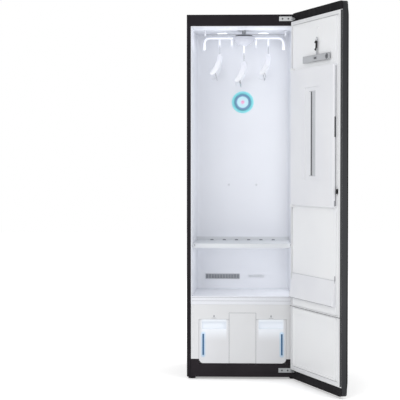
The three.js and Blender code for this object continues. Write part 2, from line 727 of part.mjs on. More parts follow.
const tanks = {};
for (const [tankName, side] of [['supply_tank', -1], ['drain_tank', 1]]) {
  const group = new THREE.Group();
  cabinet.add(group);
  tanks[tankName] = group;
  const gripX = side * tankMiddle;
  const shellBlock = extruded(
    tankOutline(side, 0, [TANK_BOTTOM, tankShellTop], TANK_CORNER),
    'y',
    [moduleFront, tankBack],
  );
  const cavity = extruded(
    tankOutline(side, TANK_WALL, [TANK_BOTTOM + TANK_WALL, TANK_TOP], TANK_CORNER - TANK_WALL),
    'y',
    [moduleFront + TANK_WALL, tankBack - TANK_WALL],
  );
  const gripWalls = block(
    centred(gripX, GRIP_WIDTH + 2 * TANK_WALL),
    [moduleFront, moduleFront + GRIP_DEPTH + TANK_WALL],
    [gripTop - GRIP_HEIGHT - TANK_WALL, gripTop + TANK_WALL],
  );
  const gripSpace = block(
    centred(gripX, GRIP_WIDTH),
    [moduleFront - CUT_OVERRUN, moduleFront + GRIP_DEPTH],
    [gripTop - GRIP_HEIGHT, gripTop],
  );
  const windowSlot = block(
    centred(side * windowX, WINDOW_WIDTH + 2 * FIT_GAP),
    [moduleFront - CUT_OVERRUN, moduleFront + CUT_OVERRUN],
    [WINDOW_LOW - FIT_GAP, WINDOW_HIGH + FIT_GAP],
  );
  const shellSolid = cut(shellBlock, cut(cavity, gripWalls), gripSpace, windowSlot);
  piece(tankName, shellSolid, FINISH.tankWhite, group);

  const lidPlate = extruded(
    tankOutline(side, 0, [tankShellTop + FIT_GAP, TANK_TOP], 0),
    'y',
    [moduleFront, tankBack],
  );
  const rimInset = TANK_WALL + FIT_GAP;
  const rimDepths = [moduleFront + GRIP_DEPTH + rimInset + TANK_WALL, tankBack - rimInset];
  const rimZ = [tankShellTop - TANK_LID_RIM, tankShellTop + TANK_LID / 2];
  const rimSides = [tankInner + rimInset, TANK_HALF - rimInset].map((x) => side * x).sort((a, b) => a - b);
  const rimBlock = block(rimSides, rimDepths, rimZ);
  const rimHollow = block(
    [rimSides[0] + TANK_RIM_WIDTH, rimSides[1] - TANK_RIM_WIDTH],
    [rimDepths[0] + TANK_RIM_WIDTH, rimDepths[1] - TANK_RIM_WIDTH],
    [rimZ[0] - CUT_OVERRUN, tankShellTop + FIT_GAP],
  );
  const fillY = (rimDepths[0] + rimDepths[1]) / 2;
  piece(`${tankName}_lid`, cut(
    join(lidPlate, cut(rimBlock, rimHollow)),
    rod('z', FILL_RADIUS, [tankShellTop - CUT_OVERRUN, TANK_TOP + CUT_OVERRUN], [gripX, fillY], 20),
  ), FINISH.tankWhite, group);

  piece(`${tankName}_window`, block(
    centred(side * windowX, WINDOW_WIDTH),
    [moduleFront - WINDOW_PROUD, moduleFront + TANK_WALL],
    [WINDOW_LOW, WINDOW_HIGH],
  ), FINISH.gaugeBlue, group);
}

// Machine space behind the tanks: a sealed heat pump, its fan, a steam generator and a pump.

const machineFloor = BASE_FLOOR + FIT_GAP;
const machineRoof = CHAMBER_FLOOR - LINER_WALL - FIT_GAP;

const COMPRESSOR_RADIUS = 62;
const COMPRESSOR_HEIGHT = 235;
const COMPRESSOR_FOOT = 78;
const COMPRESSOR_FOOT_HEIGHT = 12;
const COMPRESSOR_FROM_SIDE = 110;
const compressorX = BODY_HALF - COMPRESSOR_FROM_SIDE;
const COMPRESSOR_Y = 400;
// The rounded cap, in shares of the radius: out from the axis and down from the top.
const COMPRESSOR_CAP_SHARES = [[1, 0.6], [0.85, 0.25], [0.5, 0.05]];
const compressorTop = COMPRESSOR_FOOT_HEIGHT + COMPRESSOR_HEIGHT;
piece('compressor', turned([
  [0, 0],
  [COMPRESSOR_FOOT, 0],
  [COMPRESSOR_FOOT, COMPRESSOR_FOOT_HEIGHT / 2],
  [COMPRESSOR_RADIUS, COMPRESSOR_FOOT_HEIGHT],
  ...COMPRESSOR_CAP_SHARES.map(([out, down]) => [
    out * COMPRESSOR_RADIUS,
    compressorTop - down * COMPRESSOR_RADIUS,
  ]),
  [0, compressorTop],
], 24), FINISH.compressorBlack).position.set(compressorX, COMPRESSOR_Y, machineFloor);

const FIN_COUNT = 14;
const FIN_GAP = 7;
const FIN_PITCH = 14;
const FIN_ROOT = 10;
const EXCHANGER_LEFT = -130;
const EXCHANGER_HEIGHT = 150;
const EXCHANGER_FRONT = 330;
const EXCHANGER_DEPTH = 90;
const exchangerWidth = FIN_COUNT * FIN_PITCH - FIN_GAP;
const finTop = machineFloor + EXCHANGER_HEIGHT;
const finPoints = [[EXCHANGER_LEFT, machineFloor], [EXCHANGER_LEFT + exchangerWidth, machineFloor]];
for (let fin = FIN_COUNT - 1; fin >= 0; fin -= 1) {
  const left = EXCHANGER_LEFT + fin * FIN_PITCH;
  const right = left + FIN_PITCH - FIN_GAP;
  finPoints.push([right, finTop], [left, finTop]);
  if (fin) finPoints.push([left, machineFloor + FIN_ROOT], [left - FIN_GAP, machineFloor + FIN_ROOT]);
}
piece(
  'heat_exchanger',
  extruded(outline(finPoints), 'y', [EXCHANGER_FRONT, EXCHANGER_FRONT + EXCHANGER_DEPTH]),
  FINISH.galvanised,
);

// Fan: a scroll housing fixed under the chamber floor, and a bladed rotor on its shaft.
const FAN_FROM_SIDE = 180;
const fanX = -BODY_HALF + FAN_FROM_SIDE;
const FAN_Y = 250;
const FAN_OUTER = 92;
const FAN_WALL = 3;
const FAN_HEIGHT = 62;
const FAN_SHAFT = 5;
const FAN_SHAFT_LENGTH = 40;
const FAN_BOSS = 16;
const FAN_BOSS_HEIGHT = 14;
const FAN_OUTLET_WIDTH = 60;
const FAN_OUTLET_LENGTH = 60;
const ROTOR_RADIUS = 76;
const ROTOR_BLADES = 14;
const ROTOR_PLATE = 3;
const ROTOR_HUB = 12;
const ROTOR_GAP = 5;
const BLADE_LENGTH = 16;
const BLADE_THICKNESS = 3;
const BLADE_HEIGHT = 34;
const SHAFT_CLEARANCE = 0.25;

const fanTop = machineRoof;
const fanBottom = fanTop - FAN_HEIGHT;
const outletRun = [fanX - FAN_OUTER, fanX - FAN_OUTER + FAN_OUTLET_WIDTH];
const outletDepths = [FAN_Y, FAN_Y + FAN_OUTER + FAN_OUTLET_LENGTH];
const fanBody = join(
  rod('z', FAN_OUTER, [fanBottom, fanTop], [fanX, FAN_Y], 28),
  block(outletRun, outletDepths, [fanBottom, fanTop]),
);
const fanHollow = join(
  rod('z', FAN_OUTER - FAN_WALL, [fanBottom - CUT_OVERRUN, fanTop - FAN_WALL], [fanX, FAN_Y], 28),
  block(
    [outletRun[0] + FAN_WALL, outletRun[1] - FAN_WALL],
    [outletDepths[0], outletDepths[1] + CUT_OVERRUN],
    [fanBottom + FAN_WALL, fanTop - FAN_WALL],
  ),
);
const bossBottom = fanTop - FAN_WALL - FAN_BOSS_HEIGHT;
const shaftBottom = bossBottom - FAN_SHAFT_LENGTH;
piece('fan_housing', join(
  cut(fanBody, fanHollow),
  rod('z', FAN_BOSS, [bossBottom, fanTop - FAN_WALL / 2], [fanX, FAN_Y], 20),
  rod('z', FAN_SHAFT, [shaftBottom, bossBottom + FAN_WALL], [fanX, FAN_Y], 16),
), FINISH.plasticGrey);

const rotorTop = bossBottom - FIT_GAP;
const blades = [];
for (let blade = 0; blade < ROTOR_BLADES; blade += 1) {
  const geometry = new THREE.BoxGeometry(BLADE_LENGTH, BLADE_THICKNESS, BLADE_HEIGHT);
  geometry.translate(ROTOR_RADIUS - ROTOR_GAP - BLADE_LENGTH / 2, 0, rotorTop - BLADE_HEIGHT / 2);
  geometry.rotateZ((blade / ROTOR_BLADES) * Math.PI * 2);
  blades.push(geometry);
}
const rotor = cut(
  join(
    rod('z', ROTOR_RADIUS, [rotorTop - ROTOR_PLATE, rotorTop], [0, 0], 28),
    rod('z', ROTOR_HUB, [rotorTop - BLADE_HEIGHT, rotorTop], [0, 0], 16),
    ...blades,
  ),
  rod('z', FAN_SHAFT + SHAFT_CLEARANCE, [shaftBottom - FIT_GAP, fanTop], [0, 0], 16),
);
piece('fan_rotor', rotor, FINISH.plasticBlack).position.set(fanX, FAN_Y, 0);

// Steam generator: a boiler box with a screwed flange and an outlet stub.
const BOILER_FROM_SIDE = 90;
const boilerX = -BODY_HALF + BOILER_FROM_SIDE;
const BOILER_WIDTH = 150;
const BOILER_FRONT = 140;
const BOILER_DEPTH = 84;
const BOILER_HEIGHT = 120;
const BOILER_FLANGE = 6;
const BOILER_STUB_RADIUS = 9;
const BOILER_STUB_HEIGHT = 26;
const BOILER_SEAM_SHARE = 0.8;
const boilerTop = machineFloor + BOILER_HEIGHT;
const boilerMiddle = BOILER_FRONT + BOILER_DEPTH / 2;
piece('steam_generator', join(
  block(centred(boilerX, BOILER_WIDTH), [BOILER_FRONT, BOILER_FRONT + BOILER_DEPTH],
    [machineFloor, boilerTop]),
  block(
    centred(boilerX, BOILER_WIDTH + 2 * BOILER_FLANGE),
    [BOILER_FRONT - BOILER_FLANGE, BOILER_FRONT + BOILER_DEPTH + BOILER_FLANGE],
    centred(machineFloor + BOILER_SEAM_SHARE * BOILER_HEIGHT, BOILER_FLANGE),
  ),
  rod('z', BOILER_STUB_RADIUS, [boilerTop - BOILER_FLANGE, boilerTop + BOILER_STUB_HEIGHT],
    [boilerX, boilerMiddle], 14),
), FINISH.galvanised);

// Water pump: a small motor on a square head with two stubs.
const PUMP_X = 60;
const PUMP_Y = 200;
const PUMP_WIDTH = 56;
const PUMP_HEIGHT = 42;
const PUMP_MOTOR_RADIUS = 23;
const PUMP_MOTOR_LENGTH = 60;
const PUMP_STUB_RADIUS = 6;
const PUMP_STUB_LENGTH = 18;
piece('water_pump', join(
  block(centred(PUMP_X, PUMP_WIDTH), centred(PUMP_Y, PUMP_WIDTH), [machineFloor, machineFloor + PUMP_HEIGHT]),
  rod('z', PUMP_MOTOR_RADIUS,
    [machineFloor + PUMP_HEIGHT / 2, machineFloor + PUMP_HEIGHT + PUMP_MOTOR_LENGTH], [PUMP_X, PUMP_Y], 18),
  rod('x', PUMP_STUB_RADIUS,
    [PUMP_X - PUMP_WIDTH / 2 - PUMP_STUB_LENGTH, PUMP_X + PUMP_WIDTH / 2 + PUMP_STUB_LENGTH],
    [PUMP_Y, machineFloor + PUMP_HEIGHT / 2], 12),
), FINISH.plasticBlack);

// Control board: a printed board with its power parts, on top of the chamber liner.
const BOARD_FROM_SIDE = 95;
const boardX = -BODY_HALF + BOARD_FROM_SIDE;
const BOARD_WIDTH = 130;
const BOARD_FRONT = 120;
const BOARD_DEPTH = 190;
const BOARD_THICKNESS = 4;
const BOARD_PARTS = 4;
const BOARD_PART_SIZE = 24;
const BOARD_PART_HEIGHT = 26;
const LOW_PART_SHARE = 0.6;
const boardBottom = CHAMBER_CEILING + LINER_WALL + FIT_GAP;
const boardParts = [];
for (let part = 0; part < BOARD_PARTS; part += 1) {
  const partY = BOARD_FRONT + ((part + 0.5) / BOARD_PARTS) * BOARD_DEPTH;
  const partX = boardX + (part % 2 ? 1 : -1) * (BOARD_WIDTH / 4);
  const height = BOARD_PART_HEIGHT * (part % 2 ? 1 : LOW_PART_SHARE);
  boardParts.push(block(
    centred(partX, BOARD_PART_SIZE),
    centred(partY, BOARD_PART_SIZE),
    [boardBottom + BOARD_THICKNESS / 2, boardBottom + BOARD_THICKNESS + height],
  ));
}
piece('control_board', join(
  block(centred(boardX, BOARD_WIDTH), [BOARD_FRONT, BOARD_FRONT + BOARD_DEPTH],
    [boardBottom, boardBottom + BOARD_THICKNESS]),
  ...boardParts,
), FINISH.boardGreen);

// Hanger drive above the ceiling: a slide plate with a motor bridge, a motor and its crank.
// The crank pin ends just above the carriage's rod, so that the two turn and slide freely.

const CARRIAGE_LENGTH = 76;
const CARRIAGE_DEPTH = 36;
const CARRIAGE_HEIGHT = 10;
const PLATE_THICKNESS = 3;
const PLATE_MARGIN = 24;
const GUIDE_WALL = 5;
const GUIDE_LIP = 5;
const GUIDE_LIP_HEIGHT = 2;
const CRANK_X = 116;
const CRANK_RADIUS = 20;
const CRANK_DISC = 27;
const CRANK_THICKNESS = 3;
const CRANK_PIN_RADIUS = 3.5;
const CRANK_PIN_LENGTH = 4;
const CRANK_SHAFT_RADIUS = 4;
const ROD_WIDTH = 11;
const ROD_THICKNESS = 3.2;
const BRIDGE_THICKNESS = 3;
const BRIDGE_POST = 8;
const BRIDGE_GAP = 0.5;
const MOTOR_RADIUS = 26;
const MOTOR_HEIGHT = 22;
const MOTOR_FLANGE = 34;
const MOTOR_FLANGE_HEIGHT = 4;

const crankAngle = Math.acos(BAR_REST_OFFSET / CRANK_RADIUS);
const crankX = CRANK_X;
const crankY = HANG_Y - CRANK_RADIUS * Math.sin(crankAngle);
const plateLow = CHAMBER_CEILING + LINER_WALL + FIT_GAP;
const plateHigh = plateLow + PLATE_THICKNESS;
const carriageLow = plateHigh + FIT_GAP;
const carriageHigh = carriageLow + CARRIAGE_HEIGHT;
const rodHigh = carriageHigh + ROD_THICKNESS;
const pinLow = rodHigh + FIT_GAP;
const discLow = pinLow + CRANK_PIN_LENGTH;
const discHigh = discLow + CRANK_THICKNESS;
const bridgeLow = discHigh + BRIDGE_GAP;
const bridgeHigh = bridgeLow + BRIDGE_THICKNESS;
const postOffset = CRANK_DISC + BRIDGE_POST;
const guideInner = CARRIAGE_DEPTH / 2 + FIT_GAP;
const guideHalfRun = CARRIAGE_LENGTH / 2 + BAR_STROKE;
const plateRun = [-guideHalfRun - PLATE_MARGIN, crankX + postOffset];
const plateDepths = [crankY - postOffset - BRIDGE_POST, crankY + postOffset + BRIDGE_POST];
const bridgeRun = [crankX - CRANK_DISC, crankX + CRANK_DISC];
const guides = [-1, 1].flatMap((side) => {
  const wall = [HANG_Y + side * guideInner, HANG_Y + side * (guideInner + GUIDE_WALL)].sort((a, b) => a - b);
  const lip = [HANG_Y + side * (guideInner - GUIDE_LIP), wall[side < 0 ? 0 : 1]].sort((a, b) => a - b);
  const lipLow = carriageHigh + FIT_GAP;
  return [
    block([-guideHalfRun, guideHalfRun], wall, [plateHigh - PLATE_THICKNESS / 2, lipLow + GUIDE_LIP_HEIGHT]),
    block([-guideHalfRun, guideHalfRun], lip, [lipLow, lipLow + GUIDE_LIP_HEIGHT]),
  ];
});
const posts = [-1, 1].map((side) => block(
  centred(crankX, BRIDGE_POST * 2),
  centred(crankY + side * postOffset, BRIDGE_POST),
  [plateHigh - PLATE_THICKNESS / 2, bridgeHigh],
));
piece('drive_plate', cut(
  join(
    block(plateRun, plateDepths, [plateLow, plateHigh]),
    block(bridgeRun, [crankY - postOffset - BRIDGE_POST / 2, crankY + postOffset + BRIDGE_POST / 2],
      [bridgeLow, bridgeHigh]),
    ...posts,
    ...guides,
  ),
  extruded(neckSlot, 'z', [plateLow - CUT_OVERRUN, plateHigh + FIT_GAP / 2], 5),
  rod('z', CRANK_SHAFT_RADIUS + FIT_GAP, [bridgeLow - FIT_GAP, bridgeHigh + CUT_OVERRUN],
    [crankX, crankY], 14),
), FINISH.galvanised);

const motorLow = bridgeHigh + FIT_GAP;
piece('hanger_motor', turned([
  [0, motorLow],
  [MOTOR_FLANGE, motorLow],
  [MOTOR_FLANGE, motorLow + MOTOR_FLANGE_HEIGHT],
  [MOTOR_RADIUS, motorLow + MOTOR_FLANGE_HEIGHT],
  [MOTOR_RADIUS, motorLow + MOTOR_HEIGHT],
  [0, motorLow + MOTOR_HEIGHT],
], 24), FINISH.galvanised).position.set(crankX, crankY, 0);

const pinX = CRANK_RADIUS * Math.cos(crankAngle);
const pinY = CRANK_RADIUS * Math.sin(crankAngle);
piece('hanger_crank', join(
  rod('z', CRANK_DISC, [discLow, discHigh], [0, 0], 24),
  rod('z', CRANK_PIN_RADIUS, [pinLow, discLow + CRANK_THICKNESS / 2], [pinX, pinY], 12),
  rod('z', CRANK_SHAFT_RADIUS, [discHigh - CRANK_THICKNESS / 2, bridgeHigh], [0, 0], 14),
), FINISH.steel).position.set(crankX, crankY, 0);

// Hanger bar: a carriage with its rod and neck, and the white bar with its dome and prongs.
const DOME_BELOW_CEILING = 30.7;
const DOME_HEIGHT = 53;
const DOME_HALF_WIDTH = 61;
const DOME_DEPTH_RATIO = 0.62;
const DOME_RINGS = 7;
const BAR_RADIUS = 7.5;
const BAR_HEIGHT_BELOW_DOME_TOP = 8;
const BAR_END_FROM_SIDE = 81.5;
const barEndX = BODY_HALF - BAR_END_FROM_SIDE;
const BAR_END_BEND = 34;
const BAR_END_DROP = 68;
const BAR_STEPS = 46;
const PRONG_PITCH = 67;
const PRONG_WIDTH = 11;
const PRONG_DEPTH = 8;
const PRONG_DROP = 61;
const CENTRE_PRONG_DROP = 99;
const EYE_RADIUS = 3.3;
const EYE_LIP = 3;

const domeTop = CHAMBER_CEILING - DOME_BELOW_CEILING;
const prongTip = domeTop - PRONG_DROP;
const centreProngTip = domeTop - CENTRE_PRONG_DROP;

const bar = new THREE.Group();
bar.position.x = BAR_REST_OFFSET;
cabinet.add(bar);
piece('hanger_carriage', join(
  block(centred(0, CARRIAGE_LENGTH), centred(HANG_Y, CARRIAGE_DEPTH), [carriageLow, carriageHigh]),
  block([0, crankX + pinX - BAR_REST_OFFSET + ROD_WIDTH / 2], centred(HANG_Y, ROD_WIDTH),
    [carriageHigh - ROD_THICKNESS / 2, rodHigh]),
  rod('z', NECK_RADIUS, [domeTop + FIT_GAP, carriageLow + CARRIAGE_HEIGHT / 2], [0, HANG_Y], 18),
), FINISH.plasticGrey, bar);

const barZ = domeTop - BAR_HEIGHT_BELOW_DOME_TOP;
const barPath = new THREE.CurvePath();
const corner = (side, along, down) => new THREE.Vector3(side * (barEndX - along), HANG_Y, barZ - down);
const endTip = (side) => corner(side, 0, BAR_END_DROP);
const bendFoot = (side) => corner(side, 0, BAR_END_BEND);
const bendTop = (side) => corner(side, BAR_END_BEND, 0);
barPath.add(new THREE.LineCurve3(endTip(-1), bendFoot(-1)));
barPath.add(new THREE.QuadraticBezierCurve3(bendFoot(-1), corner(-1, 0, 0), bendTop(-1)));
barPath.add(new THREE.LineCurve3(bendTop(-1), bendTop(1)));
barPath.add(new THREE.QuadraticBezierCurve3(bendTop(1), corner(1, 0, 0), bendFoot(1)));
barPath.add(new THREE.LineCurve3(bendFoot(1), endTip(1)));

function roundSection(radius, sides) {
  const points = [];
  for (let side = 0; side < sides; side += 1) {
    const angle = (side / sides) * Math.PI * 2;
    points.push([radius * Math.cos(angle), radius * Math.sin(angle)]);
  }
  return outline(points);
}

function tube(path, radius, sides, steps) {
  return new THREE.ExtrudeGeometry(roundSection(radius, sides), { steps, extrudePath: path });
}

const domeProfile = [[0, domeTop - DOME_HEIGHT]];
for (let ring = 1; ring <= DOME_RINGS; ring += 1) {
  const angle = (ring / DOME_RINGS) * (Math.PI / 2);
  domeProfile.push([DOME_HALF_WIDTH * Math.sin(angle), domeTop - DOME_HEIGHT * Math.cos(angle)]);
}
domeProfile.push([0, domeTop]);
const dome = turned(domeProfile, 28);
dome.scale(1, DOME_DEPTH_RATIO, 1);
dome.translate(0, HANG_Y, 0);

const prongs = [];
const eyes = [];
for (const place of [-2, -1, 0, 1, 2]) {
  const tip = place ? prongTip : centreProngTip;
  const prongX = place * PRONG_PITCH;
  prongs.push(block(centred(prongX, PRONG_WIDTH), centred(HANG_Y, PRONG_DEPTH), [tip, barZ]));
  eyes.push([prongX, tip + EYE_LIP + EYE_RADIUS]);
}
for (const side of [-1, 1]) eyes.push([side * barEndX, barZ - BAR_END_DROP + EYE_LIP + EYE_RADIUS]);
const eyeRun = [HANG_Y - PRONG_DEPTH - CUT_OVERRUN, HANG_Y + PRONG_DEPTH + CUT_OVERRUN];
piece('hanger_bar', cut(
  join(tube(barPath, BAR_RADIUS, 8, BAR_STEPS), dome, ...prongs),
  ...eyes.map((eye) => rod('y', EYE_RADIUS, eyeRun, eye, 10)),
), FINISH.barWhite, bar);

// Three contoured hangers: a broad curved shoulder moulding with a thin trouser bar, and a wire hook.
const HOOK_RADIUS = 14;
const HOOK_WIRE = 1.6;
const HOOK_LENGTH = 43;
const SHOULDER_HALF = 170;
const SHOULDER_DROP = 110;
const SHOULDER_FALL_POWER = 1.5;
const SHOULDER_CROWN_SHARE = 1.2;
const SHOULDER_CURVE = 42;
const SHOULDER_CURVE_POWER = 3;
const SHOULDER_NECK = 12;
const SHOULDER_WIDTH = 26;
const SHOULDER_FLARE = 5;
const SHOULDER_HEIGHT = 15;
const SHOULDER_TIP_HEIGHT = 10;
const NECK_BOSS_RADIUS = 8;
const TROUSER_BAR_X = -17;
const TROUSER_BAR_DROP = 134;
const TROUSER_BAR_RADIUS = 3;
const TROUSER_BAR_HALF = 146;
const TROUSER_ARM = 4;
const TROUSER_ARM_WIDTH = 5;

const shoulderSweep = (t) => -SHOULDER_CURVE * Math.abs(t) ** SHOULDER_CURVE_POWER;
const shoulderFall = (t) => SHOULDER_NECK + SHOULDER_DROP * Math.abs(t) ** SHOULDER_FALL_POWER;
const hookRise = HOOK_WIRE + FIT_GAP + PRONG_DEPTH ** 2 / (8 * HOOK_RADIUS);

function shoulders() {
  const geometry = new THREE.BoxGeometry(1, 1, 1, 3, 20, 2);
  const places = geometry.getAttribute('position');
  for (let i = 0; i < places.count; i += 1) {
    const across = places.getX(i);
    const t = places.getY(i) * 2;
    const up = places.getZ(i);
    const width = SHOULDER_WIDTH + SHOULDER_FLARE * Math.abs(t);
    const height = SHOULDER_HEIGHT + (SHOULDER_TIP_HEIGHT - SHOULDER_HEIGHT) * Math.abs(t);
    const crown = 1 - SHOULDER_CROWN_SHARE * across ** 2;
    places.setXYZ(
      i,
      across * width + shoulderSweep(t),
      t * SHOULDER_HALF,
      up * height * crown - shoulderFall(t),
    );
  }
  const armT = (TROUSER_BAR_HALF - TROUSER_ARM / 2) / SHOULDER_HALF;
  const armTopX = shoulderSweep(armT);
  const armTopZ = -shoulderFall(armT);
  const halfArm = TROUSER_ARM_WIDTH / 2;
  const armOutline = outline([
    [TROUSER_BAR_X - halfArm, -TROUSER_BAR_DROP - halfArm],
    [TROUSER_BAR_X + halfArm, -TROUSER_BAR_DROP - halfArm],
    [TROUSER_BAR_X + halfArm, -TROUSER_BAR_DROP + halfArm],
    [armTopX + halfArm, armTopZ],
    [armTopX - halfArm, armTopZ],
    [TROUSER_BAR_X - halfArm, -TROUSER_BAR_DROP + halfArm],
  ]);
  return join(
    geometry,
    rod('z', NECK_BOSS_RADIUS, [-SHOULDER_NECK, 0], [0, 0], 14),
    rod('y', TROUSER_BAR_RADIUS, [-TROUSER_BAR_HALF, TROUSER_BAR_HALF],
      [TROUSER_BAR_X, -TROUSER_BAR_DROP], 10),
    extruded(armOutline, 'y', [-TROUSER_BAR_HALF, -TROUSER_BAR_HALF + TROUSER_ARM]),
    extruded(armOutline, 'y', [TROUSER_BAR_HALF - TROUSER_ARM, TROUSER_BAR_HALF]),
  );
}

const HOOK_SHARES = [
  [0.75, -1.66], [1, -1], [0.707, -0.293], [0, 0], [-0.707, -0.293], [-1, -1], [-0.85, -1.5],
];

function wireHook() {
  const points = [
    new THREE.Vector3(0, 0, -HOOK_LENGTH + FIT_GAP),
    new THREE.Vector3(0, 0, -HOOK_LENGTH + HOOK_RADIUS / 2),
    ...HOOK_SHARES.map(([y, z]) => new THREE.Vector3(0, y * HOOK_RADIUS, z * HOOK_RADIUS)),
  ];
  return tube(new THREE.CatmullRomCurve3(points), HOOK_WIRE, 6, 24);
}

const HANGERS = [['left', -2, prongTip], ['centre', 0, centreProngTip], ['right', 2, prongTip]];
for (const [hangerName, place, tip] of HANGERS) {
  const hanger = new THREE.Group();
  const apex = tip + EYE_LIP + hookRise;
  hanger.position.set(place * PRONG_PITCH, HANG_Y, apex);
  bar.add(hanger);
  piece(`hanger_hook_${hangerName}`, wireHook(), FINISH.steel, hanger);
  piece(`hanger_${hangerName}`, shoulders(), FINISH.hangerWhite, hanger).position.z = -HOOK_LENGTH;
}

// Hinge brackets: a screwed plate on the body's face, an arm out to the pivot, and its pin.

const HINGE_PLATE_LENGTH = 82;
const HINGE_PLATE_FROM_SIDE = 24;
const HINGE_PLATE_HEIGHT = 24;
const HINGE_PLATE_THICKNESS = 3;
const HINGE_TOP_PLATE_FROM_TOP = 36;
const HINGE_BOTTOM_PLATE_Z = 25;
const HINGE_ARM_THICKNESS = 6;
const HINGE_ARM_RISE = 5;
const HINGE_ARM_WIDTH = 20;
const HINGE_EYE_RADIUS = 7.5;
const HINGE_PIN_RADIUS = 5;
const HINGE_PIN_REACH = 14;
const HINGE_SCREW_RADIUS = 4.5;
const HINGE_SCREW_HEAD = 2;
const HINGE_SCREW_SHARES = [0.22, 0.6];
const NOTCH_CLEARANCE = 6;
const NOTCH_LENGTH = 40;
const NOTCH_SKIN = 5;
const PIN_CLEARANCE = 0.3;

const topPlateLow = BODY_HEIGHT - HINGE_TOP_PLATE_FROM_TOP;
const hingeLevels = [['top', topPlateLow], ['bottom', HINGE_BOTTOM_PLATE_Z]];
const armRoot = BODY_HALF - HINGE_PLATE_FROM_SIDE;
const plateInner = armRoot - HINGE_PLATE_LENGTH;

function hingeArmOutline() {
  const shape = new THREE.Shape();
  shape.moveTo(armRoot - HINGE_ARM_WIDTH, -FIT_GAP);
  shape.lineTo(armRoot, -FIT_GAP);
  shape.lineTo(PIVOT_X + HINGE_EYE_RADIUS, PIVOT_Y);
  shape.absarc(PIVOT_X, PIVOT_Y, HINGE_EYE_RADIUS, 0, -Math.PI, true);
  return shape;
}
for (const [levelName, plateLowZ] of hingeLevels) {
  const armLow = plateLowZ + HINGE_ARM_RISE;
  const armHigh = armLow + HINGE_ARM_THICKNESS;
  const screwZ = plateLowZ + HINGE_PLATE_HEIGHT / 2;
  const plateFront = -FIT_GAP - HINGE_PLATE_THICKNESS;
  piece(`hinge_bracket_${levelName}`, join(
    block([plateInner, armRoot], [plateFront, -FIT_GAP], [plateLowZ, plateLowZ + HINGE_PLATE_HEIGHT]),
    extruded(hingeArmOutline(), 'z', [armLow, armHigh], 10),
    rod('z', HINGE_PIN_RADIUS, [armLow - HINGE_PIN_REACH, armHigh + HINGE_PIN_REACH], [PIVOT_X, PIVOT_Y], 20),
    ...HINGE_SCREW_SHARES.map((share) => rod(
      'y',
      HINGE_SCREW_RADIUS,
      [plateFront - HINGE_SCREW_HEAD, -FIT_GAP - HINGE_PLATE_THICKNESS / 2],
      [plateInner + share * HINGE_PLATE_LENGTH, screwZ],
      12,
    )),
  ), FINISH.steel);
}

// Door: everything below is drawn with the door closed, in a group turned about its pins.

const doorPivot = new THREE.Group();
doorPivot.position.set(PIVOT_X, PIVOT_Y, 0);
doorPivot.rotation.z = THREE.MathUtils.degToRad(DOOR_OPEN_ANGLE);
const door = new THREE.Group();
door.position.set(-PIVOT_X, -PIVOT_Y, 0);
doorPivot.add(door);
cabinet.add(doorPivot);

const railInner = BODY_HALF - RAIL_WIDTH;
const linerPlateBack = DOOR_INNER - DOOR_LINER_PLATE;
const coreBack = linerPlateBack - FIT_GAP;
const coreFront = DOOR_FRONT + GLASS_THICKNESS + FIT_GAP;
const doorLinerTop = BODY_HEIGHT - DOOR_TOP_BORDER;
const pressHigh = doorLinerTop - PRESS_BELOW_LINER;
const pressLow = pressHigh - PRESS_HEIGHT;
const pressFreeX = -BODY_HALF + PRESS_FREE_MARGIN;

function doorSilhouette(yRun) {
  const face = roundedRectangle([-BODY_HALF, BODY_HALF], [0, BODY_HEIGHT], evenRadii(DOOR_CORNER));
  return extruded(face, 'y', yRun);
}

const notches = hingeLevels.map(([, plateLowZ]) => {
  const armLow = plateLowZ + HINGE_ARM_RISE;
  return block(
    [BODY_HALF - NOTCH_LENGTH, BODY_HALF + CUT_OVERRUN],
    [DOOR_FRONT + NOTCH_SKIN, DOOR_INNER + CUT_OVERRUN],
    [armLow - NOTCH_CLEARANCE, armLow + HINGE_ARM_THICKNESS + NOTCH_CLEARANCE],
  );
});
const pinBores = hingeLevels.map(([, plateLowZ]) => {
  const armLow = plateLowZ + HINGE_ARM_RISE;
  const reach = HINGE_PIN_REACH + FIT_GAP;
  return rod('z', HINGE_PIN_RADIUS + PIN_CLEARANCE,
    [armLow - reach, armLow + HINGE_ARM_THICKNESS + reach], [PIVOT_X, PIVOT_Y], 20);
});

// Side rails: aluminium extrusions with a rounded front edge, cut to the door's corners.
for (const [railName, side] of [['hinge', 1], ['free', -1]]) {
  const edges = [side * railInner, side * BODY_HALF].sort((a, b) => a - b);
  const radii = side > 0 ? [0, RAIL_EDGE_RADIUS, 0, 0] : [RAIL_EDGE_RADIUS, 0, 0, 0];
  const bar3 = extruded(roundedRectangle(edges, [DOOR_FRONT, coreBack], radii), 'z', [0, BODY_HEIGHT], 4);
  const trimmed = common(bar3, doorSilhouette([DOOR_FRONT - CUT_OVERRUN, coreBack + CUT_OVERRUN]));
  const rail = side > 0 ? cut(trimmed, ...notches, ...pinBores) : trimmed;
  piece(`side_rail_${railName}`, rail, FINISH.railGrey, door);
}

// Door core: the foamed black tray between the rails, its end caps and its pocket for the display.
const DISPLAY_FROM_RAIL = 28;
const DISPLAY_BELOW_TOP = 667;
const DISPLAY_HEIGHT = 66;
const DISPLAY_DEPTH = 6;
const displayHalf = railInner - DISPLAY_FROM_RAIL;
const displayLow = BODY_HEIGHT - DISPLAY_BELOW_TOP;
const coreHalf = railInner - FIT_GAP;
const capDepths = [linerPlateBack, DOOR_INNER];
const capRoot = [coreBack - FIT_GAP, linerPlateBack + FIT_GAP];
const topCapRun = [doorLinerTop + FIT_GAP, BODY_HEIGHT];
const bottomCapRun = [0, DOOR_BOTTOM_BORDER - FIT_GAP];
const capSides = [-BODY_HALF, BODY_HALF];

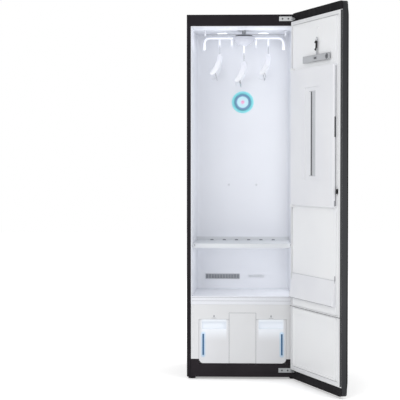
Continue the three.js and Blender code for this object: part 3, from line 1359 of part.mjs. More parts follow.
// Release button of the press cover, which sits in a pocket behind the liner plate.
const BUTTON_FROM_PRESS = 3;
const BUTTON_ABOVE_FOOT = 80;
const BUTTON_WIDTH = 12;
const BUTTON_HEIGHT = 24;
const BUTTON_PROUD = 10;
const BUTTON_TRAVEL = 4;
const buttonX = pressFreeX - BUTTON_FROM_PRESS - BUTTON_WIDTH / 2;
const buttonZ = pressLow + BUTTON_ABOVE_FOOT;
const buttonPocket = block(
  centred(buttonX, BUTTON_WIDTH + 2 * FIT_GAP),
  [coreBack - BUTTON_TRAVEL - FIT_GAP, DOOR_INNER + CUT_OVERRUN],
  centred(buttonZ, BUTTON_HEIGHT + 2 * FIT_GAP),
);

const displayPocket = block(
  [-displayHalf - FIT_GAP, displayHalf + FIT_GAP],
  [coreFront - CUT_OVERRUN, coreFront + DISPLAY_DEPTH + FIT_GAP],
  [displayLow - FIT_GAP, displayLow + DISPLAY_HEIGHT + FIT_GAP],
);
piece('door_core', cut(
  join(
    block([-coreHalf, coreHalf], [coreFront, coreBack], [0, BODY_HEIGHT]),
    block([-coreHalf, coreHalf], capRoot, topCapRun),
    block([-coreHalf, coreHalf], capRoot, bottomCapRun),
    common(doorSilhouette(capDepths), block(capSides, capDepths, topCapRun)),
    common(doorSilhouette(capDepths), block(capSides, capDepths, bottomCapRun)),
  ),
  displayPocket,
  buttonPocket,
  ...notches,
), FINISH.casing, door);
piece('display_module', block(
  [-displayHalf, displayHalf],
  [coreFront, coreFront + DISPLAY_DEPTH],
  [displayLow, displayLow + DISPLAY_HEIGHT],
), FINISH.plasticBlack, door);
piece('mirror_glass', extruded(
  roundedRectangle([-coreHalf, coreHalf], [GLASS_INSET, BODY_HEIGHT - GLASS_INSET], evenRadii(GLASS_CORNER)),
  'y',
  [DOOR_FRONT, DOOR_FRONT + GLASS_THICKNESS],
), FINISH.mirror, door);
piece('press_release_button', block(
  centred(buttonX, BUTTON_WIDTH),
  [coreBack, DOOR_INNER + BUTTON_PROUD],
  centred(buttonZ, BUTTON_HEIGHT),
), FINISH.plasticBlack, door);

// Door liner: a flat flange with two raised fields, the lugs that carry the press cover,
// and a stem whose peg carries the trouser hanger.
// Distances named with U count from the hinge side of the door.
const HOLDER_U = 335;
const HOLDER_BELOW_LINER = 63;
const HOLDER_BOSS = 6;
const HOLDER_WIDTH = 6;
const HOLDER_THICKNESS = 3;
const PEG_BELOW_HOLDER = 56;
const PEG_RADIUS = 2.5;
const PEG_LENGTH = 13;
const FIELD_HINGE_U = 28;
const FIELD_FREE_MARGIN = 57;
const FIELD_TOP_MARGIN = 24;
const FIELD_SPLIT = 391;
const FIELD_SPLIT_HALF = 7;
const FIELD_BOTTOM_MARGIN = 27;
const LOWER_RECESS_MARGIN = 11;
const LOWER_RECESS_TOP_MARGIN = 31;
const LOWER_RECESS_DEPTH = 4;
const PRESS_HINGE_U = 30;
const PRESS_THICKNESS = 17.7;
const PRESS_PIN_RADIUS = 3;
const PRESS_PIN_LENGTH = 10;
const PRESS_LUG_HEIGHT = 12;

const fieldFace = DOOR_INNER + DOOR_LINER_RAISE;
const fieldSides = [-BODY_HALF + FIELD_FREE_MARGIN, BODY_HALF - FIELD_HINGE_U];
const fieldDepths = [DOOR_INNER - DOOR_LINER_PLATE / 2, fieldFace];
const lowerField = [DOOR_BOTTOM_BORDER + FIELD_BOTTOM_MARGIN, FIELD_SPLIT - FIELD_SPLIT_HALF];
const upperField = [FIELD_SPLIT + FIELD_SPLIT_HALF, doorLinerTop - FIELD_TOP_MARGIN];
const pressBack = fieldFace + FIT_GAP;
const pressFront = pressBack + PRESS_THICKNESS;
const pressHingeX = BODY_HALF - PRESS_HINGE_U;
const pressPivot = [pressHingeX - PRESS_THICKNESS / 2, (pressBack + pressFront) / 2];
const lugSides = [pressHingeX - PRESS_THICKNESS, pressHingeX];
const lugDepths = [fieldFace - DOOR_LINER_RAISE / 2, pressFront];
const topLug = [pressHigh + FIT_GAP, pressHigh + FIT_GAP + PRESS_LUG_HEIGHT];
const bottomLug = [pressLow - FIT_GAP - PRESS_LUG_HEIGHT, pressLow - FIT_GAP];
const holderX = BODY_HALF - HOLDER_U;
const holderTop = doorLinerTop - HOLDER_BELOW_LINER;
const pegZ = holderTop - PEG_BELOW_HOLDER;
const holderRoot = fieldFace - DOOR_LINER_RAISE / 2;
piece('door_liner', cut(
  join(
    rod('y', HOLDER_BOSS, [holderRoot, fieldFace + 2 * HOLDER_THICKNESS], [holderX, holderTop], 16),
    block(centred(holderX, HOLDER_WIDTH), [holderRoot, fieldFace + HOLDER_THICKNESS],
      [pegZ - HOLDER_WIDTH / 2, holderTop]),
    rod('y', PEG_RADIUS, [holderRoot, fieldFace + PEG_LENGTH], [holderX, pegZ], 12),
    block([-BODY_HALF, BODY_HALF], capDepths, [DOOR_BOTTOM_BORDER, doorLinerTop]),
    block(fieldSides, fieldDepths, upperField),
    block(fieldSides, fieldDepths, lowerField),
    block(lugSides, lugDepths, topLug),
    block(lugSides, lugDepths, bottomLug),
    rod('z', PRESS_PIN_RADIUS, [topLug[0] - PRESS_PIN_LENGTH, topLug[1]], pressPivot, 12),
    rod('z', PRESS_PIN_RADIUS, [bottomLug[0], bottomLug[1] + PRESS_PIN_LENGTH], pressPivot, 12),
  ),
  block(
    [fieldSides[0] + LOWER_RECESS_MARGIN, fieldSides[1] - LOWER_RECESS_MARGIN],
    [fieldFace - LOWER_RECESS_DEPTH, fieldFace + CUT_OVERRUN],
    [lowerField[0] + LOWER_RECESS_MARGIN, lowerField[1] - LOWER_RECESS_TOP_MARGIN],
  ),
  buttonPocket,
), FINISH.linerWhite, door);

// Magnetic gasket round the liner's flange, with a bar across at the chamber's sill.
// Its lip is bevelled along both sides, so that it swings past the frame's face.
const GASKET_INSET = 3;
const GASKET_BOTTOM_INSET = 6;
const GASKET_WIDTH = 19;
const GASKET_BAR = 9;
const GASKET_FROM_FRAME = 0.6;
const GASKET_LIP_FROM_SIDE = 13;
const GASKET_BASE = 3;
const gasketBase = DOOR_INNER + FIT_GAP;
const gasketDepths = [gasketBase, -GASKET_FROM_FRAME];
const gasketLow = DOOR_BOTTOM_BORDER + GASKET_BOTTOM_INSET;
const gasketOuter = roundedRectangle(
  [-BODY_HALF + GASKET_INSET, BODY_HALF - GASKET_INSET],
  [gasketLow, doorLinerTop - GASKET_INSET],
  evenRadii(GASKET_INSET),
);
const gasketInnerHalf = BODY_HALF - GASKET_INSET - GASKET_WIDTH;
for (const run of [
  [gasketLow + GASKET_WIDTH, FIELD_SPLIT - GASKET_BAR / 2],
  [FIELD_SPLIT + GASKET_BAR / 2, doorLinerTop - GASKET_INSET - GASKET_WIDTH],
]) {
  gasketOuter.holes.push(roundedRectangle([-gasketInnerHalf, gasketInnerHalf], run, evenRadii(0)));
}
const lipBevels = [-1, 1].map((side) => extruded(outline([
  [side * (BODY_HALF - GASKET_LIP_FROM_SIDE), -GASKET_FROM_FRAME],
  [side * BODY_HALF, gasketBase + GASKET_BASE],
  [side * BODY_HALF, CUT_OVERRUN],
  [side * (BODY_HALF - GASKET_LIP_FROM_SIDE), CUT_OVERRUN],
]), 'z', [0, BODY_HEIGHT]));
piece('door_gasket', cut(extruded(gasketOuter, 'y', gasketDepths, 3), ...lipBevels), FINISH.rubberGrey, door);

// Press cover: a thick panel on two pins, with a shallow channel, a steam slot and a grip.
const CHANNEL_MIDDLE_U = 300;
const CHANNEL_WIDTH = 172;
const CHANNEL_TOP_MARGIN = 100;
const CHANNEL_HEIGHT = 476;
const CHANNEL_DEPTH = 5;
const STEAM_SLOT_U = 290;
const STEAM_SLOT_WIDTH = 24;
const STEAM_SLOT_END_MARGIN = 24;
const PRESS_GRIP_ABOVE_FOOT = 348;
const PRESS_GRIP_HEIGHT = 102;
const PRESS_GRIP_DEPTH = 8;
const PRESS_EDGE = 3;
const channelHigh = pressHigh - CHANNEL_TOP_MARGIN;
const channelLow = channelHigh - CHANNEL_HEIGHT;
const gripLow = pressLow + PRESS_GRIP_ABOVE_FOOT;
const pressRound = PRESS_THICKNESS / 2 - FIT_GAP / 2;
const pressRadii = [0, pressRound, pressRound, PRESS_EDGE];
const pressCut = [pressBack - CUT_OVERRUN, pressFront + CUT_OVERRUN];
const steamSlotRun = [channelLow + STEAM_SLOT_END_MARGIN, channelHigh - STEAM_SLOT_END_MARGIN];
const pinRadius = PRESS_PIN_RADIUS + FIT_GAP;
piece('press_cover', cut(
  extruded(
    roundedRectangle([pressFreeX, pressHingeX], [pressBack, pressFront], pressRadii),
    'z',
    [pressLow, pressHigh],
  ),
  block(
    centred(BODY_HALF - CHANNEL_MIDDLE_U, CHANNEL_WIDTH),
    [pressFront - CHANNEL_DEPTH, pressFront + CUT_OVERRUN],
    [channelLow, channelHigh],
  ),
  block(centred(BODY_HALF - STEAM_SLOT_U, STEAM_SLOT_WIDTH), pressCut, steamSlotRun),
  block(
    [pressFreeX - CUT_OVERRUN, pressFreeX + PRESS_GRIP_DEPTH],
    [pressBack - CUT_OVERRUN, pressFront - PRESS_GRIP_DEPTH],
    [gripLow, gripLow + PRESS_GRIP_HEIGHT],
  ),
  rod('z', pinRadius, [pressHigh - PRESS_PIN_LENGTH, pressHigh + CUT_OVERRUN], pressPivot, 12),
  rod('z', pinRadius, [pressLow - CUT_OVERRUN, pressLow + PRESS_PIN_LENGTH], pressPivot, 12),
), FINISH.linerWhite, door);

// Hem guide: a flared deflector across the foot of the upper field.
const HEM_TOP = 568;
const HEM_PEAK = 452;
const HEM_BOTTOM = 441;
const HEM_PROUD = 21;
const HEM_TOP_PROUD = 2;
const HEM_ROUND = 2;
const hemBack = fieldFace + FIT_GAP;
piece('hem_guide', extruded(outline([
  [hemBack, HEM_TOP],
  [hemBack, HEM_BOTTOM],
  [hemBack + HEM_PROUD - HEM_ROUND, HEM_BOTTOM],
  [hemBack + HEM_PROUD, HEM_BOTTOM + HEM_ROUND],
  [hemBack + HEM_PROUD, HEM_PEAK],
  [hemBack + HEM_TOP_PROUD, HEM_TOP],
]), 'x', [fieldSides[0], pressHingeX]), FINISH.linerWhite, door);

// Trouser hanger on the door's peg: a black hook, a clamp bar and its jaw.
const BLACK_HOOK_RADIUS = 9;
const BLACK_HOOK_WIRE = 2.6;
const BLACK_HOOK_LENGTH = 54;
const CLAMP_HALF = 150;
const CLAMP_BELOW_PEG = 82;
const CLAMP_HEIGHT = 35;
const CLAMP_PLATE = 5;
const CLAMP_NECK_WIDTH = 9;
const CLAMP_CHEEK = 4;
const JAW_THICKNESS = 5;
const JAW_GAP = 0.6;
const JAW_PIN_RADIUS = 1.5;

const clampGroup = new THREE.Group();
const clampApex = pegZ + PEG_RADIUS + FIT_GAP + BLACK_HOOK_WIRE;
const clampMiddle = (fieldFace + HOLDER_THICKNESS + fieldFace + PEG_LENGTH) / 2;
clampGroup.position.set(holderX, clampMiddle, clampApex);
door.add(clampGroup);

function blackHook() {
  const points = [
    new THREE.Vector3(0, 0, -BLACK_HOOK_LENGTH + FIT_GAP),
    new THREE.Vector3(0, 0, -BLACK_HOOK_LENGTH + BLACK_HOOK_RADIUS),
    ...HOOK_SHARES.map(([x, z]) => new THREE.Vector3(x * BLACK_HOOK_RADIUS, 0, z * BLACK_HOOK_RADIUS)),
  ];
  return tube(new THREE.CatmullRomCurve3(points), BLACK_HOOK_WIRE, 7, 24);
}
piece('trouser_hook', blackHook(), FINISH.plasticBlack, clampGroup);

const clampTop = pegZ - CLAMP_BELOW_PEG - clampApex;
const clampLow = clampTop - CLAMP_HEIGHT;
const jawDepths = [CLAMP_PLATE / 2 + JAW_GAP, CLAMP_PLATE / 2 + JAW_GAP + JAW_THICKNESS];
const jawPivot = [(jawDepths[0] + jawDepths[1]) / 2, clampTop - JAW_THICKNESS];
const cheek = (side) => block(
  [side * CLAMP_HALF, side * (CLAMP_HALF - CLAMP_CHEEK)].sort((a, b) => a - b),
  [-CLAMP_PLATE / 2, jawDepths[1]],
  [clampLow, clampTop],
);
const plateDepth = centred(0, CLAMP_PLATE);
const clampRun = [-CLAMP_HALF - CUT_OVERRUN, CLAMP_HALF + CUT_OVERRUN];
const clampBody = join(
  block([-CLAMP_HALF, CLAMP_HALF], plateDepth, [clampLow, clampTop]),
  block(centred(0, CLAMP_NECK_WIDTH), plateDepth, [clampTop - CLAMP_PLATE, -BLACK_HOOK_LENGTH]),
  cheek(-1),
  cheek(1),
);
const jawBore = rod('x', JAW_PIN_RADIUS + FIT_GAP, clampRun, jawPivot, 10);
const boreKeep = block([-CLAMP_HALF, CLAMP_HALF], plateDepth, [clampLow, clampTop]);
piece('trouser_clamp', cut(clampBody, cut(jawBore, boreKeep)), FINISH.plasticGrey, clampGroup);

const jawHalf = CLAMP_HALF - CLAMP_CHEEK - FIT_GAP;
const jawRound = JAW_THICKNESS / 2 - FIT_GAP / 2;
const jawRun = [clampLow + JAW_GAP, jawPivot[1] + JAW_THICKNESS / 2];
piece('clamp_jaw', join(
  extruded(
    roundedRectangle(jawDepths, jawRun, [0, 0, jawRound, jawRound]),
    'x',
    [-jawHalf, jawHalf],
    4,
  ),
  rod('x', JAW_PIN_RADIUS, [-CLAMP_HALF, CLAMP_HALF], jawPivot, 10),
), FINISH.plasticGrey, clampGroup);

const root = new THREE.Group();
root.add(cabinet);
root.updateMatrixWorld(true);

export default root;
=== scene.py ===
import json
import math

import bmesh
import bpy
from mathutils import Matrix, Vector


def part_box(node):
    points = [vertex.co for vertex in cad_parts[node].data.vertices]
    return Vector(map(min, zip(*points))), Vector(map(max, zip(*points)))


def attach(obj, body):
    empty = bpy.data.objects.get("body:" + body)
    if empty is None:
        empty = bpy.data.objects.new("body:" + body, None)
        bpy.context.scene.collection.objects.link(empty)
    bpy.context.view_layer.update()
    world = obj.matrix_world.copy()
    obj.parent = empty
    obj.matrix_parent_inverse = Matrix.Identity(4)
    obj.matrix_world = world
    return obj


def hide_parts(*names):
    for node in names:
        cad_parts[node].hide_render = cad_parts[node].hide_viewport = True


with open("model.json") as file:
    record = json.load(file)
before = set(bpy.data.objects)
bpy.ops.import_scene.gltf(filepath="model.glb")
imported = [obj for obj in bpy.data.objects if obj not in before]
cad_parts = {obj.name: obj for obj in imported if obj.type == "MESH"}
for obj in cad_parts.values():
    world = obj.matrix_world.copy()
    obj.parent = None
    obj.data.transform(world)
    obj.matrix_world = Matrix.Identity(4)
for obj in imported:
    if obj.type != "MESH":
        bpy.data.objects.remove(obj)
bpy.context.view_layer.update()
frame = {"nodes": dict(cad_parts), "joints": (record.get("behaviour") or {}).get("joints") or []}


# Viewpoint. The cabinet is seen from in front and a little above the middle, from a
# distance of nearly seven metres, and stands in the right half of the picture.
EYE = (0.0, -6.956, 1.144)
EYE_TURN_LEFT = 1.964
EYE_TILT_DOWN = 1.626
LENS_MM = 111.9
SENSOR_MM = 36.0
VIEW_REACH = 60.0


def in_scene(name, data):
    """A new object in the scene."""
    made = bpy.data.objects.new(name, data)
    bpy.context.scene.collection.objects.link(made)
    return made


camera_data = bpy.data.cameras.new("viewpoint")
camera_data.lens = LENS_MM
camera_data.sensor_width = SENSOR_MM
camera_data.clip_end = VIEW_REACH
viewpoint = in_scene("viewpoint", camera_data)
viewpoint.location = EYE
viewpoint.rotation_euler = (
    math.radians(90.0 - EYE_TILT_DOWN), 0.0, math.radians(EYE_TURN_LEFT)
)
bpy.context.scene.camera = viewpoint


# Casing. A wrap of painted steel over both sides and the top, folded at its front edge,
# and a galvanised rear cover with two fields of vents, screwed on from behind.
CASING_PAINT = "#211e21"
CASING_PAINT_LIGHT = "#262326"
CASING_ROUGHNESS = 0.5
CASING_EASE = 0.0016
ZINC_LIGHT = "#b2b4b4"
ZINC_DARK = "#abadad"
ZINC_ROUGHNESS = 0.40
REAR_COVER_EASE = 0.0004
EVEN = (1.0, 1.0, 1.0)
CLOUD_SPREAD = (0.35, 0.65)
GLOSS_CLOUD = 7.0
COAT_ROUGHNESS = 0.08
JOINED_REACH = 0.00001
FLAT_ANGLE = 0.6
SHARP_ANGLE = 32.0


def tint(code, strength=1.0):
    """A colour written as #rrggbb, as the shader's linear colour."""
    parts = [int(code[i:i + 2], 16) / 255.0 for i in (1, 3, 5)]
    linear = [p / 12.92 if p <= 0.04045 else ((p + 0.055) / 1.055) ** 2.4 for p in parts]
    return (*[p * strength for p in linear], 1.0)


def start_finish(name):
    """A new material, its node tree and its main shader."""
    made = bpy.data.materials.new(name)
    made.use_nodes = True
    return made, made.node_tree, made.node_tree.nodes["Principled BSDF"]


def fed(tree, node, inputs):
    """A node with its inputs set, each from a number, a vector, a #rrggbb tone or a socket."""
    for name, source in inputs.items():
        source = tint(source) if isinstance(source, str) else source
        if isinstance(source, (int, float, tuple, Vector)):
            node.inputs[name].default_value = source
        else:
            tree.links.new(source, node.inputs[name])
    return node


def added(tree, kind, inputs, **settings):
    """A new node of a kind, with its settings made and its inputs fed."""
    node = tree.nodes.new("ShaderNode" + kind)
    for setting, value in settings.items():
        setattr(node, setting, value)
    return fed(tree, node, inputs)


def own_place(tree):
    """The place of a point in the piece's own frame, which its patterns are fixed to."""
    return added(tree, "TexCoord", {}).outputs["Object"]


def grain(tree, scale, detail=2.0, stretch=EVEN):
    """The strength of a cloudy pattern fixed to the piece; scale counts per metre."""
    spot = added(tree, "Mapping", {"Vector": own_place(tree), "Scale": stretch}).outputs["Vector"]
    return added(tree, "TexNoise", {"Vector": spot, "Scale": scale, "Detail": detail}).outputs["Fac"]


def shades(tree, strength, stops):
    """A row of tones, each with its place, picked by a pattern's strength.

    A tone is a colour written as #rrggbb, a linear colour or a number.
    """
    node = added(tree, "ValToRGB", {"Fac": strength})
    marks = node.color_ramp.elements
    while len(marks) < len(stops):
        marks.new(0.5)
    for element, (place, tone) in zip(marks, stops):
        tone = tint(tone) if isinstance(tone, str) else tone
        element.position = place
        element.color = tone if isinstance(tone, tuple) else (tone,) * 3 + (1.0,)
    return node.outputs["Color"]


def between(tree, strength, low, high):
    """Two tones mixed by a cloudy pattern."""
    return shades(tree, strength, list(zip(CLOUD_SPREAD, (low, high))))


def uneven_gloss(tree, shader, scale, low, high, stretch=EVEN):
    """A roughness that wanders between two values."""
    fed(tree, shader, {"Roughness": between(tree, grain(tree, scale, 2.0, stretch), low, high)})


def rough_skin(tree, shader, scale, depth, stretch=EVEN):
    """A fine relief in the surface: scale counts per metre, depth is in metres."""
    height = grain(tree, scale, 2.0, stretch)
    relief = added(tree, "Bump", {"Distance": depth, "Strength": 1.0, "Height": height})
    fed(tree, shader, {"Normal": relief.outputs["Normal"]})


def surface(name, light, dark, roughness, metal=0.0, cloud=3.0, skin=900.0, depth=0.00003,
            stretch=EVEN, coat=0.0, gloss=0.5, uneven=0.12):
    """A paint, plastic or metal: two close tones, uneven gloss and a fine skin."""
    made, tree, shader = start_finish(name)
    colour = between(tree, grain(tree, cloud, 3.0, stretch), dark, light)
    fed(tree, shader, {"Base Color": colour, "Metallic": metal, "Specular IOR Level": gloss})
    uneven_gloss(tree, shader, cloud * GLOSS_CLOUD, roughness * (1.0 - uneven), roughness * (1.0 + uneven),
                 stretch)
    rough_skin(tree, shader, skin, depth, stretch)
    if coat:
        fed(tree, shader, {"Coat Weight": coat, "Coat Roughness": COAT_ROUGHNESS})
    return made


def finished(node, material):
    """Gives a carried-over piece its material."""
    mesh = frame["nodes"][node].data
    mesh.materials.clear()
    mesh.materials.append(material)


def eased(node, radius, steps=2, angle=SHARP_ANGLE):
    """Joins the faces of a carried-over piece and rounds its edges by a radius in metres."""
    piece = frame["nodes"][node]
    mesh = piece.data
    for layer in ("custom_normal", "sharp_edge"):
        if layer in mesh.attributes:
            mesh.attributes.remove(mesh.attributes[layer])
    mesh.polygons.foreach_set("use_smooth", [True] * len(mesh.polygons))
    piece.modifiers.new("joined faces", "WELD").merge_threshold = JOINED_REACH
    flat = piece.modifiers.new("flat faces", "DECIMATE")
    flat.decimate_type = "DISSOLVE"
    flat.angle_limit = math.radians(FLAT_ANGLE)
    edge = piece.modifiers.new("eased edges", "BEVEL")
    edge.width = radius
    edge.segments = steps
    edge.limit_method = "ANGLE"
    edge.angle_limit = math.radians(angle)
    edge.use_clamp_overlap = True
    edge.harden_normals = True


def dressed(node, material, radius, steps=2, angle=SHARP_ANGLE):
    """A carried-over piece in its material, with its edges eased."""
    finished(node, material)
    eased(node, radius, steps, angle)


casing_paint = surface("casing paint", CASING_PAINT_LIGHT, CASING_PAINT, CASING_ROUGHNESS,
                       cloud=1.2, skin=1400.0, depth=0.00001, gloss=0.15, uneven=0.03)
zinc = surface("zinc sheet", ZINC_LIGHT, ZINC_DARK, ZINC_ROUGHNESS, metal=0.8, cloud=38.0, skin=300.0,
               depth=0.000004, uneven=0.05)
dressed("outer_shell", casing_paint, CASING_EASE)
dressed("rear_cover", zinc, REAR_COVER_EASE, steps=1)


# Base. A tray folded from galvanised sheet carries the whole cabinet, on four moulded
# feet; the power cord's bush is snapped into the rear cover.
BASE_EASE = 0.0006
FOOT_EASE = 0.0008

dressed("base_frame", zinc, BASE_EASE)
foot_black = surface("foot black", "#232324", "#171718", 0.6, skin=700.0, depth=0.00008, gloss=0.3)
for foot in ("foot_front_left", "foot_rear_left", "foot_front_right", "foot_rear_right", "cord_gland"):
    dressed(foot, foot_black, FOOT_EASE)


# Front frame. One black moulding round the chamber, two stiles and a deep top bezel,
# closed at the bottom by a black kick plate with a notch for the tanks.
FRAME_EASE = 0.0015
KICK_EASE = 0.0012

frame_black = surface("frame black", "#221f23", "#1b181c", 0.5, skin=1100.0, gloss=0.12)
dressed("front_frame", frame_black, FRAME_EASE)
kick_black = surface("kick black", "#292529", "#231f23", 0.5, skin=1100.0, gloss=0.12)
dressed("kick_plate", kick_black, KICK_EASE)


# Chamber liner. One tapered white moulding with a rounded rear corner on each side, a
# raised sill at the front and ledges for the shelf, let into the front frame.
LINER_EASE = 0.0012
SILL_JOINTS = (0.4105, 0.4285)
SILL_JOINT_HEIGHT = 0.0016
SILL_JOINT_END = 0.004
JOINT_PROUD = 0.0004
PLUG_RADIUS = 0.0065
PLUG_PROUD = 0.0016
PLUG_SUNK = 0.0006
PLUG_PLACES = ((-0.079, 1.03), (0.079, 1.03))
SUNK = 0.001
THIN_EASE = 0.0003
RIM_SHARE = 0.4
CROWN_RISE = 1.02
BACK_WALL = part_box("halo_diffuser")[1].y
FACE_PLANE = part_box("chamber_liner")[0].y


def new_piece(name, points, faces, material, body, slot, smooth=True):
    """A mesh from points and faces in the row's frame, in its finish, riding on a body."""
    mesh = bpy.data.meshes.new(name)
    mesh.from_pydata([tuple(p) for p in points], [], faces)
    mesh.validate()
    shell = bmesh.new()
    shell.from_mesh(mesh)
    bmesh.ops.recalc_face_normals(shell, faces=shell.faces)
    shell.to_mesh(mesh)
    shell.free()
    mesh.polygons.foreach_set("use_smooth", [smooth] * len(mesh.polygons))
    mesh.materials.append(material)
    piece = in_scene(name, mesh)
    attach(piece, body)
    return piece


def soft_block(low, high, radius, steps=3):
    """Points and faces of a block with rounded edges, between two corners in metres."""
    low, high = Vector(low), Vector(high)
    shell = bmesh.new()
    bmesh.ops.create_cube(shell, size=1.0)
    for corner in shell.verts:
        corner.co = Vector(((low[i] + high[i]) / 2 + corner.co[i] * (high[i] - low[i])) for i in range(3))
    bmesh.ops.bevel(shell, geom=list(shell.edges), offset=radius, segments=steps, profile=0.5,
                    affect="EDGES")
    points = [v.co.copy() for v in shell.verts]
    faces = [[v.index for v in face.verts] for face in shell.faces]
    shell.free()
    return points, faces


def face_block(x, z, width, height, low, high, radius, steps=3):
    """A rounded block about a place in x and z, reaching from one y to another."""
    return soft_block((x - width / 2, low, z - height / 2), (x + width / 2, high, z + height / 2),
                      radius, steps)


def stitched(near, far):
    """Faces between two closed rings given as point numbers, where points may fall together."""
    faces = []
    for k in range(len(near)):
        after = (k + 1) % len(near)
        face = list(dict.fromkeys((near[k], near[after], far[after], far[k])))
        if len(face) > 2:
            faces.append(face)
    return faces


def band(near, far, count):
    """Faces between two closed rings, from the number of each ring's first point."""
    return stitched(range(near, near + count), range(far, far + count))


def angles(start, end, steps):
    """Evenly spaced angles from a start to an end, both included."""
    return [start + (end - start) * k / steps for k in range(steps + 1)]


def lathe(profile, steps=40, squeeze=1.0):
    """Points and faces of a form turned about the z axis from (radius, height) pairs."""
    points, faces, rings = [], [], []
    for radius, height in profile:
        if radius < 1e-7:
            rings.append([len(points)] * steps)
            points.append(Vector((0.0, 0.0, height)))
            continue
        rings.append(list(range(len(points), len(points) + steps)))
        for k in range(steps):
            turn = 2.0 * math.pi * k / steps
            points.append(Vector((radius * math.cos(turn), radius * squeeze * math.sin(turn), height)))
    for near, far in zip(rings, rings[1:]):
        faces += stitched(near, far)
    return points, faces


def placed(shape, move, turn=None):
    """A shape's points moved, after a turn given as a matrix."""
    points, faces = shape
    turn = turn or Matrix.Identity(3)
    return [turn @ Vector(p) + Vector(move) for p in points], faces


def together(*shapes):
    """Several shapes as one."""
    points, faces = [], []
    for more_points, more_faces in shapes:
        start = len(points)
        points += more_points
        faces += [[start + corner for corner in face] for face in more_faces]
    return points, faces


def bulged(radius, proud, rings=5):
    """The profile of a flat dome with a rounded rim, from its foot to its crown."""
    rim = min(proud, radius * RIM_SHARE)
    edge = [(radius - rim + rim * math.cos(a), proud - rim + rim * math.sin(a))
            for a in angles(0.0, math.pi / 2, rings)]
    return [(0.0, 0.0), (radius, 0.0), *edge, (0.0, proud * CROWN_RISE)]


FACING_FRONT = Matrix.Rotation(math.radians(90.0), 3, "X")

liner_white = surface("liner white", "#e2e4e9", "#dee0e6", 0.36, cloud=2.0, skin=700.0, depth=0.00002)
dressed("chamber_liner", liner_white, LINER_EASE, angle=40.0)
joint_grey = surface("joint grey", "#a3a5aa", "#94969b", 0.6)
plug_grey = surface("plug grey", "#d2d4da", "#caccd2", 0.4)
joint_width = 2 * (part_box("chamber_liner")[1].x - SILL_JOINT_END)
for number, height in enumerate(SILL_JOINTS, 1):
    seam = face_block(0.0, height, joint_width, SILL_JOINT_HEIGHT, FACE_PLANE - JOINT_PROUD,
                      FACE_PLANE + SUNK, THIN_EASE, steps=1)
    new_piece("sill_joint_%d" % number, *seam, joint_grey, "cabinet", "grey_plastic")
plug = lathe(bulged(PLUG_RADIUS, PLUG_PROUD), steps=24)
for number, (x, height) in enumerate(PLUG_PLACES, 1):
    new_piece("wall_plug_%d" % number, *placed(plug, (x, BACK_WALL - PLUG_SUNK, height), FACING_FRONT),
              plug_grey, "cabinet", "liner_white")


# Ring lamp. A glowing opal ring on the back wall, with a domed cap in its middle that
# plugs through the wall. The cap carries a slate ring and a small rosy indicator bead.
LAMP_CENTRE = (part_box("halo_cap")[0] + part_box("halo_cap")[1]) / 2
CAP_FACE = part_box("halo_cap")[0].y
CAP_EASE = 0.001
RING_EASE = 0.0006
CAP_REACH = 0.05
CAP_TONES = ((0.14, "#dcb9d2"), (0.27, "#c3d9e4"), (0.56, "#b4dbe4"), (0.9, "#6ba5b4"))
RING_REACH = 0.064
RING_PROUD = 0.004
RING_TONES = ((0.70, "#4f9fac"), (0.78, "#78c6cf"), (0.90, "#86d3da"), (1.0, "#a6dfe4"))
LAMP_GLOW = 0.15
SLATE_RING = (0.0325, 0.0462)
SLATE_RING_PROUD = 0.0022
SLATE_ROUNDNESS = 0.6
SLATE_TONES = ((0.64, "#8aa9c4"), (0.78, "#6583a6"), (0.95, "#5fa0b0"))
SLATE_GLOW = 0.12
BEAD_RADIUS = 0.0080
BEAD_PROUD = 0.0024
BEAD_LIFT = 0.0002


def glowing(name, colour, strength, body="#e8eef2"):
    """An opal cover lit from behind."""
    made, tree, shader = start_finish(name)
    fed(tree, shader, {
        "Base Color": between(tree, grain(tree, 40.0), tint(body, strength=0.9), body),
        "Emission Color": between(tree, grain(tree, 25.0), tint(colour, strength=0.92), colour),
        "Emission Strength": strength, "Roughness": 0.4,
    })
    return made


def figure(tree, operation, *values):
    """The result of a sum on one or two values, each a number or a socket."""
    return added(tree, "Math", dict(enumerate(values)), operation=operation).outputs[0]


def vector_figure(tree, operation, place, value):
    """The result of a sum on a place, given as a socket, and a plain vector."""
    made = added(tree, "VectorMath", {0: place, 1: value}, operation=operation)
    return made.outputs["Vector" if operation == "SUBTRACT" else "Value"]


def ring_glow(name, centre, reach, stops, strength):
    """An opal face whose colour and light change outwards from a centre, up to a reach."""
    made, tree, shader = start_finish(name)
    share = figure(tree, "DIVIDE", vector_figure(tree, "DISTANCE", own_place(tree), centre), reach)
    spread = shades(tree, share, stops)
    fed(tree, shader, {"Base Color": spread, "Emission Color": spread, "Emission Strength": strength,
                       "Roughness": 0.35})
    rough_skin(tree, shader, scale=500.0, depth=0.00002)
    return made


cap_centre = (LAMP_CENTRE.x, CAP_FACE, LAMP_CENTRE.z)
dressed("halo_cap", ring_glow("cap light", cap_centre, CAP_REACH, CAP_TONES, LAMP_GLOW), CAP_EASE)
ring_centre = (LAMP_CENTRE.x, BACK_WALL - RING_PROUD, LAMP_CENTRE.z)
ring_light = ring_glow("ring light", ring_centre, RING_REACH, RING_TONES, LAMP_GLOW)
dressed("halo_diffuser", ring_light, RING_EASE)
slate = ring_glow("slate ring", cap_centre, CAP_REACH, SLATE_TONES, SLATE_GLOW)
ring_middle = sum(SLATE_RING) / 2
ring_half = (SLATE_RING[1] - SLATE_RING[0]) / 2
hoop = [(ring_middle + ring_half * math.cos(a), SLATE_RING_PROUD * max(0.0, math.sin(a)) ** SLATE_ROUNDNESS)
        for a in angles(0.0, math.pi, 8)]
hoop += [(SLATE_RING[0], -SUNK), (SLATE_RING[1], -SUNK), hoop[0]]
new_piece("lamp_slate_ring", *placed(lathe(hoop, steps=64), cap_centre, FACING_FRONT), slate, "cabinet",
          "lamp_cap")
